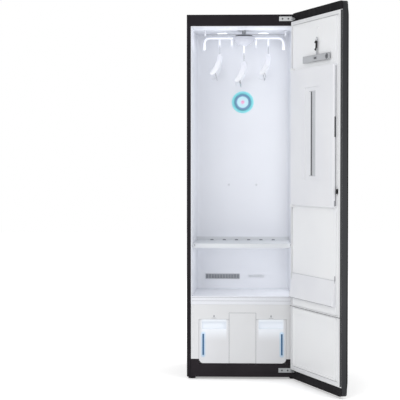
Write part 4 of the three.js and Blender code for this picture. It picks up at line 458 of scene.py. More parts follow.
bead = placed(lathe(bulged(BEAD_RADIUS, BEAD_PROUD), steps=32),
              (LAMP_CENTRE.x, CAP_FACE + BEAD_LIFT, LAMP_CENTRE.z), FACING_FRONT)
new_piece("lamp_bead", *bead, glowing("bead glow", "#e79cc4", 0.2, body="#e2a6c8"), "cabinet", "lamp_cap")


# Ceiling lights. Two shallow opal lenses in the ceiling behind the hanger bar, each in a
# thin bright ring.
LENS_EASE = 0.0006

lens_glow = glowing("lens glow", "#fbfcff", 0.8)
for side in ("left", "right"):
    dressed("ceiling_light_" + side, lens_glow, LENS_EASE)


# Lint filter and steam outlet. Both are grey slotted mouldings in the back wall; the
# filter cassette pulls out to be rinsed.
GRILLE_EASE = 0.0003
MESH_DEPTH = 0.0045
MESH_THICKNESS = 0.0012
MESH_INSET = 0.0026

filter_grey = surface("filter grey", "#b3b6bb", "#a6a9ae", 0.5)
outlet_grey = surface("outlet grey", "#e0e2e6", "#d9dbdf", 0.45)
for grille, body, moulding, pale, deep in (
    ("lint_filter", "filter", filter_grey, "#9a9da2", "#84878c"),
    ("steam_outlet", "cabinet", outlet_grey, "#dcdee2", "#d0d2d7"),
):
    dressed(grille, moulding, GRILLE_EASE, steps=1)
    low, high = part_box(grille)
    woven = surface(grille + " mesh", pale, deep, 0.7, cloud=420.0, skin=1500.0, depth=0.0002)
    front = low.y + MESH_DEPTH
    sheet = soft_block((low.x + MESH_INSET, front, low.z + MESH_INSET),
                       (high.x - MESH_INSET, front + MESH_THICKNESS, high.z - MESH_INSET), THIN_EASE, steps=1)
    new_piece(grille + "_mesh", *sheet, woven, body, "grey_plastic")


# Shelf. A slotted white tray with a deep front rim and a low rear lip, loose on its
# ledges. Each slot has a pale collar and a grey drain, and the rim a stop at each end.
SHELF_EASE = 0.0015
SHELF_SLOTS = 6
SHELF_SLOT_PITCH = 0.0694
SHELF_SLOT_Y = 0.096
COLLAR_LENGTH = 0.042
COLLAR_WIDTH = 0.019
COLLAR_WALL = 0.0032
COLLAR_PROUD = 0.0012
COLLAR_SOFT_SHARE = 0.3
DRAIN_LENGTH = 0.018
DRAIN_WIDTH = 0.0100
DRAIN_WALL = DRAIN_WIDTH * 0.36
DRAIN_SUNK = 0.004
DRAIN_PROUD = 0.0065
STOP_FROM_END = 0.012
STOP_WIDTH = 0.004
STOP_HEIGHT = 0.014
STOP_TOP_GAP = 0.002
STOP_PROUD = 0.0008
STOP_SUNK = 0.002
STOP_EASE = 0.0006
SIDES = (("left", -1), ("right", 1))
shelf_low, shelf_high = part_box("shelf")
SHELF_PLATE = shelf_high.z - 0.020


def slot_line(length, width, turns=8):
    """The outline of a slot with round ends, in two coordinates."""
    half, radius = length / 2 - width / 2, width / 2
    line = [(half + radius * math.cos(a), radius * math.sin(a))
            for a in angles(-math.pi / 2, math.pi / 2, turns)]
    return line + [(-x, -y) for x, y in line]


def collar(length, width, wall, low, high):
    """Points and faces of a raised rim round a slot, its top rounded, lying flat."""
    soft = wall * COLLAR_SOFT_SHARE
    rings = [(0.0, low), (0.0, high - soft), (-soft, high), (soft - wall, high), (-wall, high - soft),
             (-wall, low)]
    points, faces = [], []
    for inset, height in rings:
        points += [Vector((x, y, height)) for x, y in slot_line(length + 2 * inset, width + 2 * inset)]
    count = len(points) // len(rings)
    for ring in range(len(rings)):
        faces += band(ring * count, ((ring + 1) % len(rings)) * count, count)
    return points, faces


shelf_white = surface("shelf white", "#d2d5d9", "#cdd0d4", 0.45)
dressed("shelf", shelf_white, SHELF_EASE)
stop_grey = surface("collar grey", "#9a9da3", "#8d9096", 0.6)
slot_collar = collar(COLLAR_LENGTH, COLLAR_WIDTH, COLLAR_WALL, -SUNK, COLLAR_PROUD)
drain_dark = surface("drain dark", "#7d8086", "#6f7278", 0.6)
slot_drain = collar(DRAIN_LENGTH, DRAIN_WIDTH, DRAIN_WALL, -DRAIN_SUNK, DRAIN_PROUD)
for number in range(1, SHELF_SLOTS + 1):
    slot_x = (number - (SHELF_SLOTS + 1) / 2) * SHELF_SLOT_PITCH
    for name, shape, material in (("collar", slot_collar, shelf_white), ("drain", slot_drain, drain_dark)):
        new_piece("shelf_%s_%d" % (name, number), *placed(shape, (slot_x, SHELF_SLOT_Y, SHELF_PLATE)),
                  material, "shelf", "grey_plastic")
for name, side in SIDES:
    stop_x = side * (shelf_high.x - STOP_FROM_END)
    stop = soft_block((stop_x - STOP_WIDTH / 2, shelf_low.y - STOP_PROUD, SHELF_PLATE - STOP_HEIGHT),
                      (stop_x + STOP_WIDTH / 2, shelf_low.y + STOP_SUNK, SHELF_PLATE - STOP_TOP_GAP),
                      STOP_EASE)
    new_piece("shelf_stop_" + name, *stop, stop_grey, "shelf", "grey_plastic")


# Water module. A white fascia, a cover between the tanks and the moulded bay that
# guides them. Two sight marks are printed on the fascia over the tanks.
MODULE_EASE = 0.001
MARK_HEIGHT = 0.0150
MARK_HALF = 0.0052
MARK_PINCH = 1.4
MARK_PROUD = 0.0003
MARK_CENTRE = 0.3290
MARK_DASH = (0.0260, 0.0020)
MARK_DASH_DROP = 0.0105
MARK_EASE = 0.0001
SEAM_WIDTH = 0.0016
SEAM_PROUD = 0.0001
SEAM_SUNK = 0.002
SEAM_EASE = 0.0002
MODULE_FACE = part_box("module_fascia")[0].y

module_white = surface("module white", "#dbdcde", "#d7d8da", 0.42)
for panel in ("module_fascia", "centre_cover", "tank_bay"):
    dressed(panel, module_white, MODULE_EASE)
cover_low, cover_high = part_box("centre_cover")
tank_middle = sum(corner.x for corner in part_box("drain_tank")) / 2


def flat_sign(line, low, high):
    """Points and faces of a thin flat sign on a front face, from its outline in x and z."""
    count = len(line)
    points = [Vector((x, high, z)) for x, z in line] + [Vector((x, low, z)) for x, z in line]
    faces = [list(range(count)), list(range(2 * count - 1, count - 1, -1))]
    return points, faces + band(0, count, count)


drop_line = []
for turn in angles(0.0, 2.0 * math.pi, 20)[:-1]:
    pinch = abs(math.sin(turn / 2.0)) ** MARK_PINCH
    drop_line.append((MARK_HALF * math.sin(turn) * pinch, MARK_HEIGHT / 2 * math.cos(turn)))
print_grey = surface("print grey", "#9b9da3", "#8d8f95", 0.6)
for name, side in SIDES:
    drop_x = side * tank_middle
    drop = [(drop_x + x, MARK_CENTRE + z) for x, z in drop_line]
    dash_top = MARK_CENTRE - MARK_DASH_DROP
    dash = soft_block((drop_x - MARK_DASH[0] / 2, MODULE_FACE - MARK_PROUD, dash_top - MARK_DASH[1]),
                      (drop_x + MARK_DASH[0] / 2, MODULE_FACE + SUNK, dash_top), MARK_EASE, steps=1)
    mark = together(flat_sign(drop, MODULE_FACE - MARK_PROUD, MODULE_FACE + SUNK), dash)
    new_piece("water_mark_" + name, *mark, print_grey, "cabinet", "grey_plastic", smooth=False)

# The joints beside the cover and over the tanks are dark where they run deep.
joint_dark = surface("joint dark", "#85878c", "#777980", 0.7)
joint_left, joint_right = cover_low.x - SEAM_WIDTH, cover_high.x + SEAM_WIDTH
for name, x_low, x_high, z_low, z_high in (
    ("left", joint_left, cover_low.x, cover_low.z, cover_high.z),
    ("right", cover_high.x, joint_right, cover_low.z, cover_high.z),
    ("top", joint_left, joint_right, cover_high.z, cover_high.z + SEAM_WIDTH),
):
    strip = soft_block((x_low, MODULE_FACE - SEAM_PROUD, z_low), (x_high, MODULE_FACE + SEAM_SUNK, z_high),
                       SEAM_EASE, steps=1)
    new_piece("cover_joint_" + name, *strip, joint_dark, "cabinet", "grey_plastic")


# Water tanks. Two clear-walled boxes painted white inside, with a lit grip recess, a lid
# with a filling hole and a tinted level window, each a mirror image of the other.
TANK_EASE = 0.0015
TANK_LID_EASE = 0.0006
WINDOW_EASE = 0.0008
GRIP_SIDE = (0.061, 0.075)
GRIP_FOOT = (0.184, 0.271)
GRIP_GLOW = 0.24
GRIP_LIGHT = "#dcebfa"
WINDOW_TINT = (0.005, 0.017)
WINDOW_HALO = "#b9cfe4"
WINDOW_INSET = 0.0045
window_low, window_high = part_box("drain_tank_window")
WINDOW_X = window_low.x + WINDOW_INSET
WINDOW_MIDDLE = (window_low.z + window_high.z) / 2
WINDOW_HALF = (window_high.z - window_low.z) / 2


def apart(tree, value, spot):
    """How far a value lies from a spot, on either side."""
    return figure(tree, "ABSOLUTE", figure(tree, "SUBTRACT", value, spot))


def place_in_frame(tree):
    """The x, y and z of a point of the piece, in metres."""
    return list(added(tree, "SeparateXYZ", {0: own_place(tree)}).outputs)


def rising(tree, value, start, end):
    """0 before start and 1 after end, smooth between them."""
    span = {"Value": value, "From Min": start, "From Max": end}
    return added(tree, "MapRange", span, interpolation_type="SMOOTHSTEP").outputs["Result"]


def blended(tree, share, first, second):
    """Two tones, each a colour or a socket, mixed by a share."""
    return added(tree, "Mix", {0: share, 6: first, 7: second}, data_type="RGBA").outputs[2]


tank_white, tree, shader = start_finish("tank white")
x, y, z = place_in_frame(tree)
from_middle = figure(tree, "ABSOLUTE", x)
beside_window = apart(tree, from_middle, WINDOW_X)
past_end = figure(tree, "MAXIMUM", figure(tree, "SUBTRACT", apart(tree, z, WINDOW_MIDDLE), WINDOW_HALF), 0.0)
squares = [figure(tree, "MULTIPLY", value, value) for value in (beside_window, past_end)]
halo = rising(tree, figure(tree, "SQRT", figure(tree, "ADD", *squares)), *WINDOW_TINT)
in_grip = figure(tree, "SUBTRACT", 1.0, rising(tree, apart(tree, from_middle, tank_middle), *GRIP_SIDE))
lit = figure(tree, "MULTIPLY", in_grip, rising(tree, z, *GRIP_FOOT))
plain = between(tree, grain(tree, 3.0, detail=3.0), "#d6d7da", "#dbdcdf")
fed(tree, shader, {
    "Base Color": blended(tree, halo, WINDOW_HALO, plain), "Emission Strength": GRIP_GLOW,
    "Emission Color": blended(tree, lit, "#000000", GRIP_LIGHT), "Specular IOR Level": 0.35,
})
uneven_gloss(tree, shader, scale=21.0, low=0.38, high=0.42)
rough_skin(tree, shader, scale=900.0, depth=0.00002)
window_blue = surface("window blue", "#33658f", "#27517a", 0.12, coat=0.5)
for tank in ("supply_tank", "drain_tank"):
    finished(tank, tank_white)
    dressed(tank + "_lid", tank_white, TANK_LID_EASE)
    dressed(tank + "_window", window_blue, WINDOW_EASE)
eased("supply_tank", TANK_EASE)


# Machine space. The sealed heat pump, its fan, the steam generator and the water pump
# stand behind the tanks, and the control board lies above the chamber.
MACHINE_EASE = 0.0008

black_enamel = surface("black enamel", "#262627", "#1c1c1d", 0.35, coat=0.3)
moulded_black = surface("moulded black", "#1c1b1d", "#151416", 0.5, gloss=0.3)
bare_sheet = surface("bare sheet", "#c3c4c3", "#a9aaa9", 0.35, metal=0.8, stretch=(1.0, 1.0, 12.0))
fin_metal = surface("fin metal", "#c6c8c9", "#9fa2a3", 0.4, metal=0.85, stretch=(40.0, 1.0, 1.0))
board_green = surface("board green", "#2c6a43", "#245838", 0.45, cloud=30.0)
for node, material in (
    ("compressor", black_enamel), ("heat_exchanger", fin_metal), ("fan_housing", moulded_black),
    ("fan_rotor", moulded_black), ("steam_generator", bare_sheet), ("water_pump", moulded_black),
    ("control_board", board_green), ("hanger_motor", black_enamel), ("drive_plate", zinc),
    ("hanger_crank", bare_sheet), ("hanger_carriage", filter_grey),
):
    dressed(node, material, MACHINE_EASE)


# Hanger bar. A glossy white tube with turned-down ends, a dome over its middle and five
# prongs with eyes, hung from the sliding carriage by a dark collar. A thin grey guide
# rod on two stays runs in front of the collar.
BAR_TUBE = 0.0075
bar_low, bar_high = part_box("hanger_bar")
BAR_TOP = bar_high.z
BAR_X = (bar_low.x + bar_high.x) / 2
BAR_Y = (bar_low.y + bar_high.y) / 2
BAR_END = (bar_high.x - bar_low.x) / 2 - BAR_TUBE
BAR_LINE = BAR_TOP - 0.008
BAR_BEND = 0.034
BAR_DROP = 0.068
BEND_STEPS = 12
BAR_PALE = "#e3e5ec"
BAR_DEEP = "#dcdee6"
DOME = (0.061, 0.053)
DOME_RIM = ((0.0002, 0.0026), (0.0016, 0.0006), (0.004, 0.0))
DOME_SQUEEZE = 0.62
DOME_SHADE_TONE = "#b1b3bb"
DOME_SHADE_SIDES = (DOME[0] - 0.006, DOME[0] + 0.002)
DOME_SHADE_FOOT = (-0.004, 0.002)
PRONG_PITCH = 0.067
PRONG_TIPS = {-2: 0.061, -1: 0.061, 0: 0.099, 1: 0.061, 2: 0.061}
PRONG_SIZE = (0.011, 0.008)
PRONG_SOFT = 0.0009
PRONG_CORNER = 0.9
NECK_SHARE = 0.5
PRONG_NECK_EASE = 0.0016
EYE_RADIUS = 0.0033
EYE_LIP = 0.003
COLLAR = (0.048, 0.0052)
COLLAR_LIFT = 0.0002
GUIDE_X = (BAR_X - BAR_END + 0.006, BAR_X + BAR_END + 0.010)
GUIDE_RADIUS = 0.0022
GUIDE_Z = BAR_TOP + 0.0085
GUIDE_Y = BAR_Y - 0.024
STAY = (0.009, 0.007)
STAY_EASE = 0.0015
CEILING = 1.8820


def swept(line, radii, sides=20):
    """Points and faces of a round rod along a line of points, with a radius at each."""
    line = [Vector(p) for p in line]
    ways = [(line[min(k + 1, len(line) - 1)] - line[max(k - 1, 0)]).normalized() for k in range(len(line))]
    side = ways[0].orthogonal().normalized()
    points, faces = [], []
    for k, (spot, way) in enumerate(zip(line, ways)):
        if k:
            side = ways[k - 1].rotation_difference(way) @ side
            faces += band((k - 1) * sides, k * sides, sides)
        other = way.cross(side)
        for turn in angles(0.0, 2.0 * math.pi, sides)[:-1]:
            points.append(spot + radii[k] * (math.cos(turn) * side + math.sin(turn) * other))
    last = (len(line) - 1) * sides
    faces += [list(range(sides - 1, -1, -1)), list(range(last, last + sides))]
    return points, faces


def rod_along(line, radius, sides=20, cap=0.35):
    """A round rod along a line, its two ends rounded over a share of its radius."""
    line = [Vector(p) for p in line]
    first = (line[1] - line[0]).normalized()
    final = (line[-2] - line[-1]).normalized()
    ease = radius * cap
    start = [line[0], line[0] + first * ease * 0.3, line[0] + first * ease]
    end = [line[-1] + final * ease, line[-1] + final * ease * 0.3, line[-1]]
    radii = [radius * (1 - cap), radius * (1 - cap * 0.35), radius]
    return swept(start + line[1:-1] + end, radii + [radius] * (len(line) - 2) + radii[::-1], sides)


def prong(x, tip, top):
    """Points and faces of a flat prong with a round foot and an eye through it."""
    half, deep = PRONG_SIZE[0] / 2, PRONG_SIZE[1] / 2
    eye_z = tip + EYE_LIP + EYE_RADIUS
    foot_z = tip + half
    rim, eye = [], []
    steps = 24
    for turn in angles(-math.pi / 2, 1.5 * math.pi, steps)[:-1]:
        across, up = math.cos(turn), math.sin(turn)
        eye.append((x + EYE_RADIUS * across, eye_z + EYE_RADIUS * up))
        if up < 0:
            rim.append((x + half * across, foot_z + half * up))
        else:
            reach = max(abs(across), up * PRONG_CORNER)
            rim.append((x + half * across / reach, eye_z + half * up / reach))
    points, faces = [], []
    face = deep - PRONG_SOFT
    rings = [(eye, -face, 0.0), (eye, -deep, 1.0), (rim, -deep, -1.0), (rim, -face, 0.0),
             (rim, face, 0.0), (rim, deep, -1.0), (eye, deep, 1.0), (eye, face, 0.0)]
    for number, (outline, depth, grow) in enumerate(rings):
        middle = eye_z if outline is eye else foot_z
        for px, pz in outline:
            away = Vector((px - x, 0.0, pz - middle)).normalized() * PRONG_SOFT * grow
            points.append(Vector((px + away.x, BAR_Y + depth, pz + away.z)))
        faces += band(number * steps, (number + 1) % len(rings) * steps, steps)
    neck = soft_block((x - half, BAR_Y - deep, eye_z + half * NECK_SHARE), (x + half, BAR_Y + deep, top),
                      PRONG_NECK_EASE)
    return together((points, faces), neck)


bar_line = [Vector((BAR_X - BAR_END, BAR_Y, BAR_LINE - BAR_DROP))]
for k in range(BEND_STEPS + 1):
    t = k / BEND_STEPS
    along, down = BAR_BEND * t * t, BAR_BEND * (1 - t) * (1 - t)
    bar_line.append(Vector((BAR_X - BAR_END + along, BAR_Y, BAR_LINE - down)))
bar_line += [Vector((2 * BAR_X - p.x, p.y, p.z)) for p in reversed(bar_line)]
dome_line = [(0.0, -DOME[1])]
dome_line += [(DOME[0] * math.sin(a), -DOME[1] * math.cos(a)) for a in angles(0.0, math.pi / 2, 14)[1:-1]]
dome_line += [(DOME[0] - inset, -drop) for inset, drop in DOME_RIM] + [(0.0, 0.0)]
bar_shapes = [rod_along(bar_line, BAR_TUBE, sides=24),
              placed(lathe(dome_line, steps=56, squeeze=DOME_SQUEEZE), (BAR_X, BAR_Y, BAR_TOP))]
for place, drop in PRONG_TIPS.items():
    bar_shapes.append(prong(BAR_X + place * PRONG_PITCH, BAR_TOP - drop, BAR_LINE))
# The dome is painted a greyer tone than the bar: painted shade over the dome, blended out at its sides and
# its foot.
bar_white, tree, shader = start_finish("bar white")
x, y, z = place_in_frame(tree)
out_of_dome = rising(tree, apart(tree, x, BAR_X), *DOME_SHADE_SIDES)
below_dome = rising(tree, figure(tree, "SUBTRACT", BAR_TOP - DOME[1], z), *DOME_SHADE_FOOT)
plain = between(tree, grain(tree, 6.0), BAR_DEEP, BAR_PALE)
outside_dome_shade = figure(tree, "MAXIMUM", out_of_dome, below_dome)
fed(tree, shader, {"Base Color": blended(tree, outside_dome_shade, DOME_SHADE_TONE, plain), "Specular IOR Level": 0.4})
uneven_gloss(tree, shader, scale=40.0, low=0.22, high=0.28)
rough_skin(tree, shader, scale=900.0, depth=0.00001)
bar = new_piece("bar_moulding", *together(*bar_shapes), bar_white, "moving_bar", "bar_white")
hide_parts("hanger_bar")
ring = lathe([(0.0, 0.0), (COLLAR[0] - 0.001, 0.0), (COLLAR[0], 0.001), (COLLAR[0] - 0.002, COLLAR[1]),
              (0.0, COLLAR[1])], steps=48, squeeze=DOME_SQUEEZE)
guide_grey = surface("guide grey", "#a6a8ad", "#96989d", 0.35, metal=0.3)
guide = rod_along([(x, GUIDE_Y, GUIDE_Z) for x in (GUIDE_X[0], 0.0, GUIDE_X[1])], GUIDE_RADIUS, sides=16)
stays = [soft_block((x - STAY[0] / 2, GUIDE_Y - STAY[1] / 2, GUIDE_Z - STAY[0]),
                    (x + STAY[0] / 2, GUIDE_Y + STAY[1] / 2, CEILING), STAY_EASE) for x in GUIDE_X]
new_piece("bar_guide", *guide, guide_grey, "cabinet", "grey_plastic")
new_piece("bar_guide_stays", *together(*stays), outlet_grey, "cabinet", "grey_plastic")
new_piece("bar_collar", *placed(ring, (BAR_X, BAR_Y, BAR_TOP + COLLAR_LIFT)), moulded_black, "moving_bar",
          "black_plastic")


# Hangers. Three broad shoulder mouldings, each with a wire trouser bar on two short arms
# and a bent wire hook that passes through a prong's eye.
SHOULDER_HALF = 0.170
SHOULDER_DROP = 0.110
SHOULDER_CURVE = 0.042
SHOULDER_NECK = 0.012
SHOULDER_WIDTHS = (0.026, 0.031)
SHOULDER_HEIGHTS = (0.015, 0.010)
BOSS = (0.008, 0.012)
BOSS_FLARE = 0.001
BOSS_ROUND = 0.0015
TIP_START = 0.9
TIP_RUN = 0.1
TIP_POWER = 2.4
TIP_SHARES = (0.12, 0.88)
TIP_HEIGHT_SHARES = (0.35, 0.65)
BLADE_POWERS = (0.75, 0.8)
CROWN_FALL = 0.9
TROUSER_BAR = (-0.017, -0.134, 0.003, 0.146)
ARM_EASE = 0.008
ARM_WIRE = 0.0022
ARM_INSET = 0.002
HOOK_LENGTH = 0.043
HOOK_RADIUS = 0.014
HOOK_WIRE = 0.0016
HOOK_SEAT = 0.004
HOOK_TURNS = ((0.75, -1.66), (1.0, -1.0), (0.707, -0.293), (0.0, 0.0), (-0.707, -0.293), (-1.0, -1.0),
              (-0.85, -1.5))


def shoulder_line(t):
    """The middle of a shoulder at a share of its half length."""
    drop = SHOULDER_NECK + SHOULDER_DROP * abs(t) ** 1.5
    return Vector((-SHOULDER_CURVE * abs(t) ** 3, t * SHOULDER_HALF, -drop))


def shoulder_moulding():
    """Points and faces of both shoulders: a broad blade with a crowned top and round tips."""
    sides, stations = 28, 48
    points, faces = [], []
    for k in range(stations + 1):
        t = math.sin(math.pi / 2 * (2 * k / stations - 1))
        width, height = [size[0] + (size[1] - size[0]) * abs(t)
                         for size in (SHOULDER_WIDTHS, SHOULDER_HEIGHTS)]
        past_start = (max(abs(t), TIP_START) - TIP_START) / TIP_RUN
        tip = TIP_SHARES[0] + TIP_SHARES[1] * max(0.0, 1.0 - past_start ** TIP_POWER) ** 0.5
        tip_height = TIP_HEIGHT_SHARES[0] + TIP_HEIGHT_SHARES[1] * tip
        for turn in angles(0.0, 2.0 * math.pi, sides)[:-1]:
            across, up = math.cos(turn), math.sin(turn)
            across = math.copysign(abs(across) ** BLADE_POWERS[0], across) * width / 2 * tip
            up = math.copysign(abs(up) ** BLADE_POWERS[1], up) * height / 2 * tip_height
            crown = 1.0 - CROWN_FALL * (across / width) ** 2
            points.append(shoulder_line(t) + Vector((across, 0.0, up * crown)))
        if k:
            faces += band((k - 1) * sides, k * sides, sides)
    faces += [list(range(sides - 1, -1, -1)), list(range(stations * sides, (stations + 1) * sides))]
    return points, faces


def smooth_line(knots, steps=8):
    """A line of points that passes smoothly through knots."""
    knots = [Vector(k) for k in knots]
    knots = [knots[0] * 2 - knots[1]] + knots + [knots[-1] * 2 - knots[-2]]
    line = []
    for a, b, c, d in zip(knots, knots[1:], knots[2:], knots[3:]):
        for k in range(steps):
            t = k / steps
            line.append(0.5 * ((2 * b) + (c - a) * t + (2 * a - 5 * b + 4 * c - d) * t * t
                               + (3 * b - a - 3 * c + d) * t ** 3))
    return line + [knots[-2]]


bar_x, bar_z, bar_wire, bar_half = TROUSER_BAR
arm_share = (bar_half - ARM_INSET) / SHOULDER_HALF
arm_top = shoulder_line(arm_share) - Vector((0.0, 0.0, ARM_INSET))
arm_top.y = bar_half - bar_wire
wire_line = [Vector((arm_top.x, -arm_top.y, arm_top.z)),
             Vector((bar_x - ARM_INSET, -arm_top.y, bar_z + ARM_EASE)),
             Vector((bar_x, -bar_half + ARM_EASE, bar_z))]
wire_line += [Vector((p.x, -p.y, p.z)) for p in reversed(wire_line)]
trouser_wire = rod_along(smooth_line(wire_line, steps=10), ARM_WIRE, sides=14)
boss = lathe([(0.0, -BOSS[1] - BOSS_FLARE), (BOSS[0] + BOSS_FLARE, -BOSS[1] - BOSS_FLARE),
              (BOSS[0], -BOSS[1] + 2 * BOSS_FLARE), (BOSS[0], -BOSS_ROUND), (BOSS[0] - BOSS_ROUND, 0.0),
              (0.0, 0.0)], steps=32)
hook_line = [(0.0, 0.0, -HOOK_LENGTH - HOOK_SEAT), (0.0, 0.0, -HOOK_LENGTH + HOOK_RADIUS / 2)]
hook_line += [(0.0, across * HOOK_RADIUS, up * HOOK_RADIUS) for across, up in HOOK_TURNS]
wire_hook = rod_along(smooth_line(hook_line), HOOK_WIRE, sides=14, cap=0.5)
hanger_white = surface("hanger white", "#eff0f5", "#e9eaf0", 0.4, gloss=0.35)
hook_steel = surface("hook steel", "#d5d7d8", "#bfc1c2", 0.22, metal=0.95, stretch=(1.0, 1.0, 8.0))
for place in ("left", "centre", "right"):
    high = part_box("hanger_" + place)[1]
    origin = Vector((high.x - SHOULDER_WIDTHS[0] / 2, BAR_Y, high.z))
    body = place + "_hanger"
    shoulders = placed(together(shoulder_moulding(), boss), origin)
    moulding = new_piece("shoulders_" + place, *shoulders, hanger_white, body, "hanger_white")
    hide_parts("hanger_" + place)
    new_piece("trouser_wire_" + place, *placed(trouser_wire, origin), hook_steel, body, "plated_steel")
    hook = new_piece("hook_wire_" + place, *placed(wire_hook, origin + Vector((0.0, 0.0, HOOK_LENGTH))),
                     hook_steel, body, "plated_steel")
    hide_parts("hanger_hook_" + place)


# Hinges. Plated steel brackets, each held to the front frame by two recessed screws,
# with pins that stand in the door's rail.
BRACKET_EASE = 0.0005
BRACKET_MIDDLES = {"top": 1.923, "bottom": 0.037}
SCREW_SHARES = (0.22, 0.6)
SCREW_RUN = 0.082
SCREW_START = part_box("hinge_bracket_top")[0].x
SCREW_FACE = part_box("front_frame")[0].y - 0.0051
SCREW_RADIUS = 0.0043
SOCKET_RADIUS = 0.0022

plated = surface("plated steel", "#c6c8ca", "#aeb0b2", 0.3, metal=0.9, stretch=(1.0, 6.0, 1.0))
screw_dark = surface("screw dark", "#5a5b5e", "#46474a", 0.35, metal=0.8)
screw_head = lathe([
    (0.0, 0.0006), (SOCKET_RADIUS, 0.0006), (SOCKET_RADIUS, 0.0016), (SOCKET_RADIUS + 0.0003, 0.0019),
    (SCREW_RADIUS - 0.0012, 0.0018), (SCREW_RADIUS, 0.0008), (SCREW_RADIUS, -SUNK), (0.0, -SUNK),
], steps=28)
for level, middle in BRACKET_MIDDLES.items():
    dressed("hinge_bracket_" + level, plated, BRACKET_EASE)
    for number, share in enumerate(SCREW_SHARES, 1):
        spot = (SCREW_START + SCREW_RUN * share, SCREW_FACE, middle)
        new_piece("hinge_screw_%s_%d" % (level, number), *placed(screw_head, spot, FACING_FRONT),
                  screw_dark, "cabinet", "plated_steel")


# Door front. A foamed black tray between two aluminium rails. The mirror glass covers it,
# and the display in a pocket behind the glass shines through as generic signs. The free
# side's rail is drawn again, with its rounded edge turned round both ends.
# The rail tones below are painted light and shade that change with height: painted shade on the side, a
# painted reflection on the front, dark at the foot and light at the top.
RAIL_SIDE_SHADE_TONES = ((0.0, "#3c3d3f"), (0.25, "#444547"), (0.5, "#444547"), (0.75, "#3c3d3f"),
                   (1.0, "#343537"))
RAIL_FRONT_REFLECTION_TONES = ((0.0, "#424346"), (0.3, "#5c5d60"), (0.5, "#757679"), (0.8, "#929396"),
                    (1.0, "#9fa0a3"))
RAIL_EDGE_SHADE_TONE = "#060607"
RAIL_EDGE_SHADE_START = (0.0260, 0.0285)
RAIL_EDGE_SHADE_END = (0.0338, 0.0358)
RAIL_METAL = 0.8
RAIL_EASE = 0.005
RAIL_CORNER = 0.024
RAIL_ROUND = 0.014
RAIL_END_ROUND = 0.0235
RAIL_END_RUN = 0.05
RAIL_RUN_STEPS = 8
RAIL_GROWTH = 1.8
RAIL_FOOT_ROUND = 0.005
RAIL_BACK_EASE = 0.0008
BRUSHED = (1.0, 1.0, 0.05)
TONE_WANDER = 0.03
CORE_TONES = ((0.0, "#282729"), (0.5, "#201f21"), (1.0, "#1e1d1f"))
CORE_EASE = 0.004
MIRROR_REFLECTION_TONES = ((0.0, "#4b4c4e"), (0.42, "#84868a"), (0.68, "#b4b7bb"), (1.0, "#e9ebed"))
MIRROR_EASE = 0.002
EDGE_SHADE_SOFT = 0.0004
KEY_PLACES = ((-0.2377, 1.324), (-0.125, 1.325), (0.1235, 1.327))
KEY_RADIUS = 0.0026
FRAME_SIGN = (0.228, 1.324, 0.020, 0.012)
SIGN_LINE = 0.0014
SIGN_PROUD = 0.0003
SIGN_SUNK = 0.0004
SIGN_BARS = (
    (-0.085, 1.332, 0.020), (-0.052, 1.332, 0.010), (-0.012, 1.326, 0.030), (0.042, 1.332, 0.012),
    (0.082, 1.332, 0.022), (-0.068, 1.314, 0.008), (0.030, 1.314, 0.008), (0.064, 1.314, 0.008),
)
BODY_HALF = 0.300
DOOR_HEIGHT = 1.947
hinge = [joint for joint in frame["joints"] if joint["name"] == "door_hinge"][0]
pivot = Vector(hinge["pos_m"])
opened = Matrix.Rotation(math.radians(-hinge["range_deg"][0]), 4, "Z")
door_turn = Matrix.Translation(pivot) @ opened @ Matrix.Translation(-pivot)
door_closed = door_turn.inverted()
INNER_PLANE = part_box("front_frame")[0].y - 0.011


def door_piece(name, shape, material, body, slot):
    """A new piece drawn on the closed door, carried to where the open door has it."""
    points, faces = shape
    return new_piece(name, [door_turn @ Vector(p) for p in points], faces, material, body, slot)


def door_block(u, proud, z, radius, steps=3):
    """A rounded block on the closed door: u from the hinge edge, proud of its inner plane.

    Each is a pair of distances in metres, and so is z; the radius rounds the edges.
    """
    return soft_block((BODY_HALF - u[1], INNER_PLANE + proud[0], z[0]),
                      (BODY_HALF - u[0], INNER_PLANE + proud[1], z[1]), radius, steps)


def closed_reach(node):
    """The lowest and highest corners of a door piece as if the door were shut."""
    spots = [door_closed @ v.co for v in frame["nodes"][node].data.vertices]
    return [Vector(pick(p[i] for p in spots) for i in range(3)) for pick in (min, max)]


def reach_on_door(tree, start, end):
    """How far a point of the door lies from a start towards an end, both on the closed door."""
    start = door_turn @ Vector(start)
    way = (door_turn @ Vector(end) - start).normalized()
    return vector_figure(tree, "DOT_PRODUCT", vector_figure(tree, "SUBTRACT", own_place(tree), start), way)


def across_door(tree):
    """How far a point of the door lies from its hinge edge, in metres."""
    return reach_on_door(tree, (BODY_HALF, INNER_PLANE, 0.0), (0.0, INNER_PLANE, 0.0))


def towards_mirror(tree):
    """How far a point of the door lies from its inner plane, in metres."""
    return reach_on_door(tree, (0.0, INNER_PLANE, 0.0), (0.0, INNER_PLANE - 1.0, 0.0))


def shade_edged(name, pale, deep, dark, edge, roughness):
    """A pale material with painted shade: it turns dark past a distance from the door's hinge edge."""
    made, tree, shader = start_finish(name)
    plain = between(tree, grain(tree, 3.0, detail=3.0), deep, pale)
    past = rising(tree, across_door(tree), edge - EDGE_SHADE_SOFT, edge + EDGE_SHADE_SOFT)
    fed(tree, shader, {"Base Color": blended(tree, past, plain, dark), "Specular IOR Level": 0.35})
    uneven_gloss(tree, shader, scale=21.0, low=roughness * 0.88, high=roughness * 1.12)
    rough_skin(tree, shader, scale=800.0, depth=0.00002)
    return made


def height_share(tree):
    """How high a point of the door lies, as a share of the door's height."""
    return figure(tree, "DIVIDE", place_in_frame(tree)[2], DOOR_HEIGHT)


